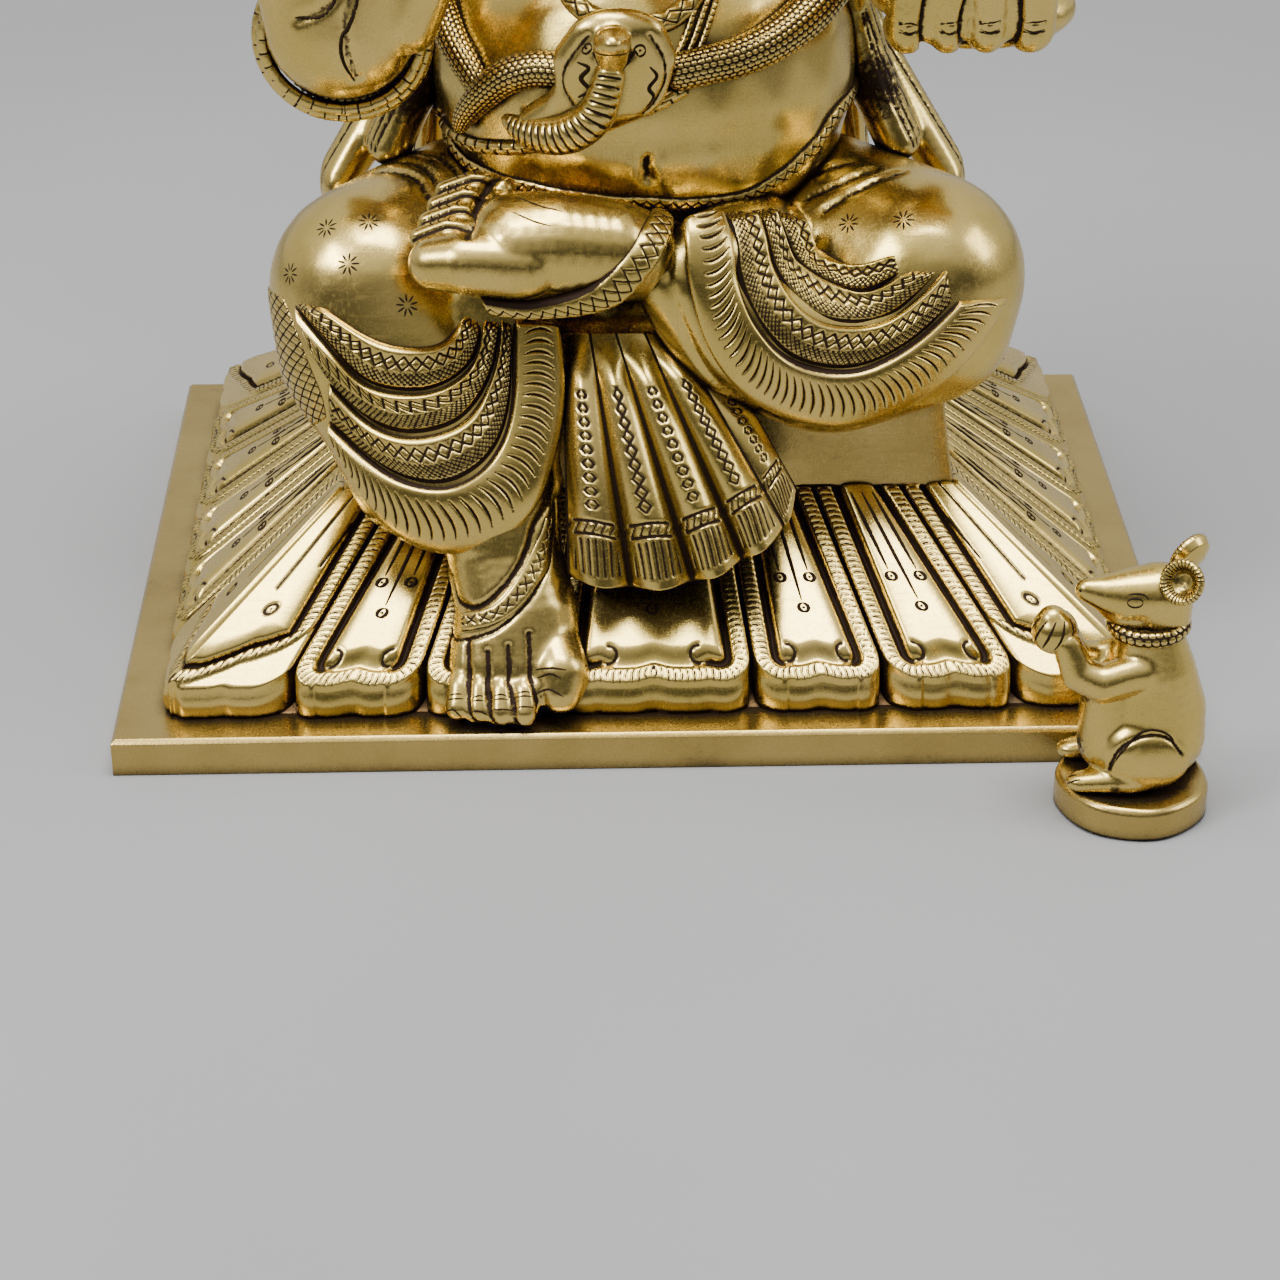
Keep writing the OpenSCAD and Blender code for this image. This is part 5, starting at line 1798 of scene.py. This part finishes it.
    def arms(self) -> None:
        """Builds the four arms with their bangles, and the sashes."""
        front_right = clay("arm_fr", [*limb((-74, 0, 220, 25), (-100, 8, 190, 22), (-120, 14, 160, 21),
            (-114, -18, 142, 19), (-106, -44, 130, 16))], 1.9, 10)
        front_left = clay("arm_fl", [*limb((74, 0, 220, 25), (98, 8, 190, 22), (118, 12, 158, 21), (112, -18,
            148, 19), (104, -48, 142, 16))], 1.9, 10)
        rear = [(-64, 22, 222, 22), (-96, 32, 218, 20), (-124, 38, 216, 19), (-134, 26, 248, 17), (-142, 14,
            282, 13)]
        self.place("right_front_arm", Slot.POLISHED, front_right)
        self.place("left_front_arm", Slot.POLISHED, front_left)
        for name, eggs, x in (("right_rear_arm", limb(*rear), -1), ("left_rear_arm", mirrored(limb(*rear)),
                1)):
            fist = [(x * 142, 6, 298, 13, 14, 14), *[limb((x * 130, -4 - 0.5 * k, 290 + 6.5 * k, 4.2),
                (x * 142, -10, 290 + 6.5 * k, 4.6), (x * 152, -2, 290 + 6.5 * k, 4))[j] for k in range(4)
                for j in range(6)]]
            arm = clay(name + "_form", [*eggs, *fist], 1.7, 7)
            chisel = Chisel(arm)
            for z in (272, 276.5, 281):
                ring = [(x * (140 + 14 * cos(a)), 14 + 14 * sin(a), z + 2 * sin(a)) for a in circle(13)]
                chisel.line(ring, 2.0, -1.3, 0.0)
                chisel.line([(p[0], p[1], p[2] + 2.2) for p in ring], 1.6, 0.8, 0.9)
            self.place(name, Slot.POLISHED, chisel.finish())
        for name, at, across, up in (("right_bangle", (-103, -49, 131), (23, 0, 0), (0, 9, 21)),
                ("left_bangle", (107, -32, 146), (20, 0, 0), (0, 5, 19))):
            rings = []
            for i, shift in enumerate((-4.2, 0.0, 4.2)):
                turn = circle(17)
                ring = [(*(np.array(at) + np.array((0, shift, -0.3 * shift)) + np.array(across) * sin(t)
                    + np.array(up) * cos(t)), 2.5) for t in turn]
                rings.append(Tube(f"{name}_{i}", ring, ribs(2.6, 0.5, 0.0, 1.0, 1.0), 0.7, 16,
                    closed=True).make())
            self.place(name, Slot.CHASED, *rings)
        for name, side in (("right_sash", -1), ("left_sash", 1)):
            eggs = [*limb((side * 68, 30, 136, 9, 9, 12), (side * 86, 22, 96, 7, 13, 14), (side * 113, 4, 56,
                6, 15, 12)), *limb((side * 70, 34, 130, 8, 8, 12), (side * 82, 38, 44, 6, 13, 12)),
                *limb((side * 74, 2, 126, 8, 14, 12), (side * 81, -2, 100, 8, 15, 16), (side * 92, -8, 76, 9,
                15, 8))]
            chisel = Chisel(clay(name + "_form", eggs, 1.5, 6))
            for k in (-8, -3, 2, 7):
                chisel.line([(side * 78, 26 + k * 0.6, 130), (side * 93, 20 + k, 96), (side * 121, 4 + k,
                    56)], 2, 1.2)
                chisel.line([(side * 78, 34 + k * 0.6, 120), (side * 90, 38 + k, 44)], 2, 1.1, 0.9)
                chisel.line([(side * 80, k - 8, 124), (side * 88, k - 10, 98), (side * 100, k - 14, 76)], 2,
                    1.1, 0.9)
            # Painted shade: a dark dab with no relief on the sash's front fold, standing in for the shadow
            # beside the belly.
            chisel.dab((side * 82, -16, 98), 18.0, 0.0, 0.7)
            self.place(name, Slot.CHASED, chisel.finish())

    def hands(self) -> None:
        """Builds the raised hand, and the hand that holds the bowl of sweets."""
        palm = [*limb((-102, -50, 130, 20, 16, 18), (-104, -66, 138, 26, 17, 25), (-102, -68, 153, 30, 14,
            22))]
        for i in range(4):
            top = (206, 214, 212, 200)[i]
            palm += limb((-124 + 14.5 * i, -67, 160, 8, 8.5, 9), (-125 + 15 * i, -66, 184, 7.4),
                (-125 + 15 * i, -64, top, 6.3))
        palm += limb((-80, -70, 142, 10, 11, 12), (-72, -75, 160, 9), (-66, -76, 178, 7.2))
        palm = clay("raised_hand", palm, 1.4, 6)
        chisel = Chisel(palm)
        chisel.line([(-95, -86, 166), (-98, -87, 157), (-101, -87, 147), (-101, -87, 138), (-100, -86, 130),
            (-98, -84, 123)], 3.4, 1.6, 0.6)
        chisel.line([(-118, -82, 145), (-110, -86, 149), (-101, -86, 156)], 3.0, 1.3, 0.5)
        palm = chisel.finish()
        strokes = [([(-95, -86, 166), (-98, -87, 157), (-101, -87, 147), (-101, -87, 138), (-100, -86, 130),
            (-98, -84, 122)], 1.5), ([(-118, -82, 145), (-110, -86, 149), (-101, -86, 156)], 1.4),
            ([(-128, -79, 162), (-112, -84, 168), (-92, -84, 166)], 1.3)]
        strokes += [([(-131 + 15 * i, -73, z), (-125 + 15 * i, -75, z - 1), (-119 + 15 * i, -73, z)],
            1.0) for i in range(4) for z in (176, 191)]
        cuffs = []
        for number, (y, low, high, wide, r) in enumerate(((-58, 104, 160, 28.5, 2.6), (-65, 108.5, 158, 26.5,
                2.3))):
            ring = [(-104 + wide * sin(t), y, (low + high) / 2 - (high - low) / 2 * cos(t),
                r) for t in circle(21)]
            cuffs.append(Tube(f"palm_cuff_{number}", ring, ribs(5, 0.25, 0.6, 1, 0.8), 0.8, 18,
                closed=True).make())
        self.place("right_front_hand", Slot.POLISHED, palm, *cuffs, engrave("palm_lines", Ground(palm),
            strokes), name="right_hand_casting")
        grip = [*limb((106, -52, 142, 20, 18, 15), (112, -66, 143, 33, 23, 13))]
        for i, (x, r) in enumerate(((85, 7.4), (98.5, 7.0), (111.5, 7.0), (126, 8.4))):
            grip += limb((x, -80, 141, r, r, 8), (x, -90, 144, r, 7.5, 9), (x, -94, 160, r, 6.5, 9),
                (x, -91, 176, r - 0.6, 6.4, 7))
        grip += limb((84, -58, 148, 10), (76, -74, 160, 8.4), (74, -82, 170, 7.4))
        chisel = Chisel(clay("bowl_hand", grip, 1.25, 4))
        for x in (91.8, 105, 118.4):
            chisel.line([(x, -84, 133), (x, -97, 140), (x, -101, 152), (x, -99, 172)], 2.4, 2.2)
        for x in (85, 98.5, 111.5, 126):
            for z in (144, 147.5, 163, 166):
                chisel.line([(x - 5.5, -100, z), (x, -103, z - 1.4), (x + 5.5, -100, z)], 1.1, 0.6, 0.85)
        grip = chisel.finish()
        strokes = [([(x - 5, -100, z), (x, -103, z - 1.2), (x + 5, -100, z)], 0.9) for x in (85, 98.5, 111.5,
            126) for z in (144, 147.5, 163, 166)]
        self.place("left_front_hand", Slot.POLISHED, grip, engrave("finger_lines", Ground(grip), strokes),
            name="left_hand_casting")
        bowl = Lathe("sweet_bowl_turned", (112, -66, 152), ((0, 0), (13, 0), (14, 1), (21, 7), (25, 17),
            (25.4, 20), (23, 20), (18, 12), (0, 9)), ribs(3.2, 0.0))
        turned = bowl.make()
        self.place("sweet_bowl", Slot.CHASED, turned)
        sweets = [(112 + 13 * sin(a), -66 + 13 * cos(a), 172, 8.4) for a in np.linspace(0, 5.24, 6)]
        heap = clay("sweets_form", [*sweets, (112, -66, 176, 9), (107, -62, 181, 7.6), (118, -70, 181, 7.6)],
            0.9, 2)
        self.place("sweets", Slot.POLISHED, heap)

    def head(self) -> None:
        """Builds the elephant's head, with trunk, tusks and ears."""
        skull = [(0, -8, 300, 56, 50, 48), (-21, -20, 326, 31, 30, 24), (21, -20, 326, 31, 30, 24),
            *limb((0, -36, 292, 34, 26, 28), (0, -50, 280, 26, 22, 24)), *limb((-26, -50, 282, 12), (-31, -64,
            272, 11)), *limb((26, -50, 282, 12), (31, -64, 272, 11)), *limb((-14, -40, 262, 12, 12, 10),
            (14, -40, 262, 12, 12, 10))]
        chisel = Chisel(clay("skull", skull, 1.7, 6))
        for side in (-1, 1):
            eye = [(side * (33 + 8 * cos(a)), -48 + 6 * cos(a), 303 + 3.6 * sin(a)) for a in circle(13)]
            chisel.dab((side * 33, -49, 303), 6, 2.2)
            chisel.line(eye, 1.8, 1.1)
            chisel.dab((side * 33, -51, 303), 1.6, -0.8, 0.9)
            chisel.line([(side * 20, -56, 309), (side * 32, -51, 313), (side * 44, -38, 310)], 1.8, 1.0)
            chisel.line([(side * 22, -56, 296), (side * 33, -52, 292), (side * 44, -40, 295)], 1.4, 0.7, 0.7)
        chisel.line([(0, -50, 336), (0, -58, 322), (0, -60, 308)], 5, 1.2, 0.2)
        for x in (-6, 0, 6):
            chisel.line([(x, -56, 330), (x * 1.6, -60, 318)], 2.2, -0.8, 0.0)
        self.place("head", Slot.POLISHED, chisel.finish())

        def creases(s: Grid, v: Grid, width: Grid) -> Marks:
            """Creases across the trunk's front, with a chased line of dots down its middle."""
            front = 1 - ease(0.42, 0.62, np.abs(v))
            line = cut(saw(s / 8.5 + 0.9 * v * v) * 8.5, 1.7) * front * (s > 14)
            dots = cut(np.hypot(saw(s / 4.25 + 0.25) * 4.25, v * width / 2), 1.5) * (s < 90)
            return -0.9 * line + 0.5 * dots, 0.8 * line

        trunk = Tube("trunk_form", ((0, -40, 304, 22), (0, -62, 286, 26), (0, -73, 264, 25), (2, -82, 234,
            21), (14, -90, 206, 17.5), (36, -98, 190, 14), (56, -103, 189, 11.5), (68, -100, 200, 10),
            (68, -92, 208, 8)), creases, 1.0, 64)
        self.place("trunk", Slot.POLISHED, trunk.make())
        tusk = ((0.85, -54, 278, 9), (0.95, -66, 270, 8.5), (1.1, -80, 265, 7.4), (1.24, -94, 266, 5.2),
            (1.28, -99, 268, 3))
        for name, side, points in (("right_tusk", -1, tusk[:3]), ("left_tusk", 1, tusk)):
            line = [(side * 31 * p[0], *p[1:]) for p in points]
            self.place(name, Slot.POLISHED, Tube(name + "_form", line, ribs(40, 0.0), 0.8, 28).make())
        for name, side in (("right_ear", -1), ("left_ear", 1)):
            eggs = [*limb((side * 52, -4, 318, 12, 9, 26), (side * 72, -6, 316, 22, 6, 38), (side * 90, -8,
                314, 24, 5.5, 38)), *limb((side * 84, -8, 300, 24, 5.5, 30), (side * 70, -8, 266, 9, 5, 12))]
            chisel = Chisel(clay(name + "_form", eggs, 1.5, 5))
            rim = [(side * 58, -13, 340), (side * 78, -14, 350), (side * 102, -14, 338), (side * 108, -14,
                314), (side * 98, -14, 292), (side * 80, -14, 274), (side * 70, -14, 262)]
            chisel.line(rim, 5.0, -1.6, 0.0)
            chisel.line([tuple(np.array(p) * (0.94, 1, 1) + (0, 0, -3)) for p in rim], 3.4, 1.4, 0.9)
            for end in ((96, 334), (100, 314), (90, 294)):
                chisel.line([(side * 58, -13, 312), (side * (end[0] - 18), -14, end[1] - 2),
                    (side * (end[0] - 4), -14, end[1])], 2.0, 0.8, 0.7)
            self.place(name, Slot.POLISHED, chisel.finish())
        shaft = Tube("axe_shaft", ((-142, -2, 262, 3.4), (-142, -2, 320, 3.4), (-142, -2, 372, 4.6)),
            ribs(6, 0.3, 0, 1, 1.0), 0.8, 20)
        blade = clay("axe_blade", [*limb((-144, -2, 350, 6, 4, 10), (-158, -2, 352, 6, 2.6, 16), (-166, -2,
            353, 3, 1.4, 21))], 1.0, 3)
        self.place("axe", Slot.CHASED, shaft.make(), blade)
        ring = [(142 + 17 * sin(a), -2, 342 + 19 * cos(a), 4.2) for a in circle(17)]
        tail = Tube("noose_tail", ((142, -2, 264, 3.4), (142, -2, 300, 3.8), (142, -2, 326, 4.4)),
            ribs(4, 0.5, 0.9, 1, 1.1), 0.7, 20)
        self.place("noose", Slot.CHASED, Tube("noose_ring", ring, ribs(4, 0.5, 0.9, 1, 1.1), 0.7, 20,
            closed=True).make(), tail.make())

    def crown(self) -> None:
        """Turns the tiered crown and its finial."""

        def tiers(s: Grid, v: Grid, width: Grid) -> Marks:
            """Beads, upright leaves and cross lines round the tiers."""
            turn = (v + 1) / 2
            lines = cut(saw(s / 15.0) * 15.0, 1.5)
            leaf = 2 * saw(turn * 24)
            arch = cut((saw(s / 15.0) * 2 - (0.30 + 0.5 * (1 - leaf**2))) * 15 / 2, 1.2)
            bead = cut(np.hypot(saw(turn * 48) * width / 48, (saw(s / 15.0 + 0.5)) * 15.0), 3.2)
            body = (s > 52) & (s < 232)
            return ((0.9 * bead - 0.8 * lines - 0.7 * arch) * body, np.maximum(lines, 0.85 * arch) * body)

        outline = ((0, 0), (52, 0), (57, 5), (57, 14), (52, 19), (49, 50), (51, 55), (48, 62), (40, 66),
            (36, 90), (38, 94), (35, 100), (27, 104), (23, 120), (25, 124), (21, 131), (10, 140), (0, 140.5))
        crown = Lathe("crown_turned", (0, -4, 330), outline, tiers, 0.9, 288).make()
        self.place("crown", Slot.CHASED, crown)
        tip = Lathe("finial_turned", (0, -4, 470), ((0, 0), (8, 0), (11, 2.6), (13.4, 6), (14, 10),
            (12, 14.6), (8, 19), (4.6, 23), (3, 26), (1.6, 28.6), (0, 30)), ribs(200, 0.0), 0.6, 72)
        self.place("crown_finial", Slot.POLISHED, tip.make(), name="finial_casting")


def sunbursts(name: str, ground: Ground, spots: Sequence[Vec]) -> Form:
    """Punches small stars of short strokes into a surface.

    Args:
        name: Name of the piece.
        ground: The surface.
        spots: Middle of each star.

    Returns:
        All the strokes as one piece.
    """
    strokes = []
    for middle, out in zip(*ground.drop(np.array(spots, float))):
        side = unit(np.cross(out, (0.0, 0.0, 1.0)))
        up = np.cross(side, out)
        for angle in np.linspace(0.2, 2 * pi + 0.2, 9, endpoint=False):
            way = side * cos(angle) + up * sin(angle)
            strokes.append(([middle + way * k for k in (1.1, 2.5, 4.0)], 0.75))
    return engrave(name, ground, strokes)


# ---------------------------------------------------------------- mouse


@dataclass(frozen=True)
class Mouse:
    """The loose mouse on its round stand, holding a sweet."""

    at: Grid
    top: float
    radius: float

    @classmethod
    def from_frame(cls) -> "Mouse":
        """Reads the stand's place and size from its node."""
        low, high = (np.array(corner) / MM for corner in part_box("mouse_stand"))
        return cls((low + high) / 2, high[2], (high[0] - low[0]) / 2)

    def place(self, node: str, slot: Slot, *pieces: Form) -> None:
        """Joins forms into one casting, sets it on the stand and dresses it."""
        obj = join(node + "_casting", pieces)
        write_points(obj, read_points(obj) + np.array((self.at[0], self.at[1], self.top)))
        dress(obj, "mouse", slot, POLISHED if slot is Slot.POLISHED else CHASED, node)

    def build(self) -> None:
        """Builds the mouse."""
        r = self.radius
        stand = Lathe("stand_turned", (self.at[0], self.at[1], 0), ((0, 0), (r - 1, 0), (r, 1), (r, 9.8),
            (r - 0.5, 11), (r - 1.8, self.top), (0, self.top)), lambda s, v, w: (0.25 * np.sin(v * 21)
            * (s > r) * (s < r + 12), 0.5 * (s > r + 16) + 0 * v), 0.7, 144).make()
        dress(stand, "mouse", Slot.POLISHED, FLATS, "mouse_stand")
        eggs = [*limb((4, 0, 16, 20, 18, 17), (5, 0, 26, 18.5, 16, 16), (4, 0, 40, 15, 14, 14), (2, 0, 56, 11,
            10.5, 9)), (2, -11, 14, 16, 8.5, 14), (2, 11, 14, 16, 8.5, 14), *limb((-8, 0, 14, 12, 14, 12),
            (-10, 0, 30, 10, 12, 14)), *limb((-4, -12, 5, 12, 6.5, 5), (-18, -11, 3.5, 7, 4.8, 3.6)),
            *limb((-4, 12, 5, 12, 6.5, 5), (-18, 11, 3.5, 7, 4.8, 3.6))]
        for side in (-1, 1):
            eggs += limb((-2, side * 8, 44, 7), (-14, side * 8, 40, 6.6), (-22, side * 6, 43, 6.2),
                (-26, side * 4, 53, 5))
        chisel = Chisel(clay("mouse_body_form", eggs, 0.9, 6))
        chisel.line([(-12, -16, 10), (-9, -18.5, 20), (-1, -19.5, 26), (8, -18.5, 24), (13, -16, 17)], 1.5,
            0.9)
        # Painted shade: soft dark dabs with no relief under the forelegs, between the feet and beside a foot
        # on the stand.
        for spot, size in (((-20, -4, 34), 7), ((-22, -2, 14), 8), ((-8, -16, 4), 4)):
            chisel.dab(spot, size, 0.0, 0.6)
        body = chisel.finish()
        strokes = [([(-20 - 0.4 * k, -14 + k, 6), (-24.5, -12.5 + k, 3.4)], 0.8) for k in (0, 2.2, 4.4)]
        strokes += [([(-12, -16, 10), (-9, -19, 20), (-1, -20, 27), (8, -19, 25), (13, -17, 17)], 1.0)]
        self.place("mouse_body", Slot.POLISHED, body, engrave("body_lines", Ground(body), strokes))
        head = [*limb((5, 0, 60, 10.5, 10, 8), (4, 0, 70, 12, 11, 10.5)), *limb((4, 0, 70, 12, 11, 10.5),
            (-5, 0, 69, 10, 9, 9.5), (-13, 0, 70, 7.4, 6.2, 6.4), (-20, 0, 71.5, 4.2, 3.8, 4)),
            *limb((-2, 0, 62, 9, 8.5, 8), (-11, 0, 66, 6, 5, 5))]
        head = clay("mouse_head_form", head, 0.75, 5)
        strokes = [([(-23, 0, 75), (-20, 1.5, 75.4)], 0.8)]
        for side in (-1, 1):
            eye = [(-6 + 2.7 * cos(a), side * 11, 71.5 + 2.0 * sin(a)) for a in circle(13)]
            brow = [(-6 + 4.6 * cos(a), side * 11, 72 + 3.6 * sin(a)) for a in np.linspace(0.3, 2.2, 6)]
            strokes += [(eye[:7], 0.75), (eye[6:], 0.75), (brow, 0.75), ([(-23, side * 4, 69), (-18, side * 6,
                66.4), (-12, side * 8, 64)], 0.8), ([(-23.6, side * 2.4, 73), (-23, side * 3.4, 72.4)], 1.2)]
        self.place("mouse_head", Slot.POLISHED, head, engrave("head_lines", Ground(head), strokes))

        def folded(s: Grid, v: Grid, width: Grid) -> Marks:
            """Fine radial lines on an ear's rolled rim, and patina in its hollow."""
            line = cut(saw(v * 15) * width / 30, 0.7) * (s > 5.5) * (s < 12)
            return -0.25 * line, np.maximum(0.42 * (s < 6.5), 0.85 * line)

        ears = []
        for side in (-1, 1):
            cup = Lathe("ear", (0, 0, 0), ((0, 1.2), (3, 1.6), (5.4, 4.0), (6.2, 5.2), (7.6, 6.0), (8.6, 5.2),
                (8.8, 3.6), (7.4, 0.8), (4, -0.8), (0, -1.2)), folded, 0.45, 96).make()
            turn = Matrix.Rotation(math.radians(-38 if side < 0 else 218), 3, "Z") @ Matrix.Rotation(
                math.radians(68), 3, "X")
            write_points(cup, 0.88 * read_points(cup) @ np.array(turn).T + np.array((11, side * 9.5,
                79) if side < 0 else (17.5, 9, 77.5)))
            ears.append(cup)
        self.place("mouse_ears", Slot.CHASED, *ears)
        ring = [(1.5 + 11.2 * sin(a), -11.6 * cos(a), 58.5 + 0.6 * sin(a), 3.0) for a in circle(17)]
        self.place("mouse_collar", Slot.CHASED, Tube("collar", ring, scales(2.4, 0.4, 6), 0.5, 24,
            closed=True).make())
        sweet = clay("sweet_form", [(-30, 0, 56, 8), (-31, 0, 60, 5.4)], 0.7, 3)
        strokes = [([(-30 + 8 * cos(a), 8 * sin(a), 52), (-30 + 8.4 * cos(a + 0.3), 8.4 * sin(a + 0.3), 57),
            (-30 + 5 * cos(a + 0.6), 5 * sin(a + 0.6), 62)], 1.0) for a in np.linspace(0, 2 * pi, 11,
            endpoint=False)]
        self.place("mouse_sweet", Slot.CHASED, sweet, engrave("sweet_lines", Ground(sweet), strokes))
        tail = Tube("tail", ((18, 2, 5, 3.6), (22, 10, 4.2, 3.6), (18, 19, 4, 3.4), (6, 23, 3.6, 3.0),
            (-6, 22, 3.2, 2.2)), ribs(2.2, 0.3, 0, 1, 0.8), 0.6, 20)
        self.place("mouse_tail", Slot.POLISHED, tail.make())


# ---------------------------------------------------------------- assembly


def main() -> None:
    """Builds the studio and every part of the idol, in order."""
    logging.basicConfig(level=logging.INFO, format="%(message)s")
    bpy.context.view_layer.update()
    Studio().build()
    throne = Throne.from_frame()
    throne.build()
    Figure(float(throne.block_high[2])).build()
    Mouse.from_frame().build()


if __name__ == "__main__":
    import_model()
    main()
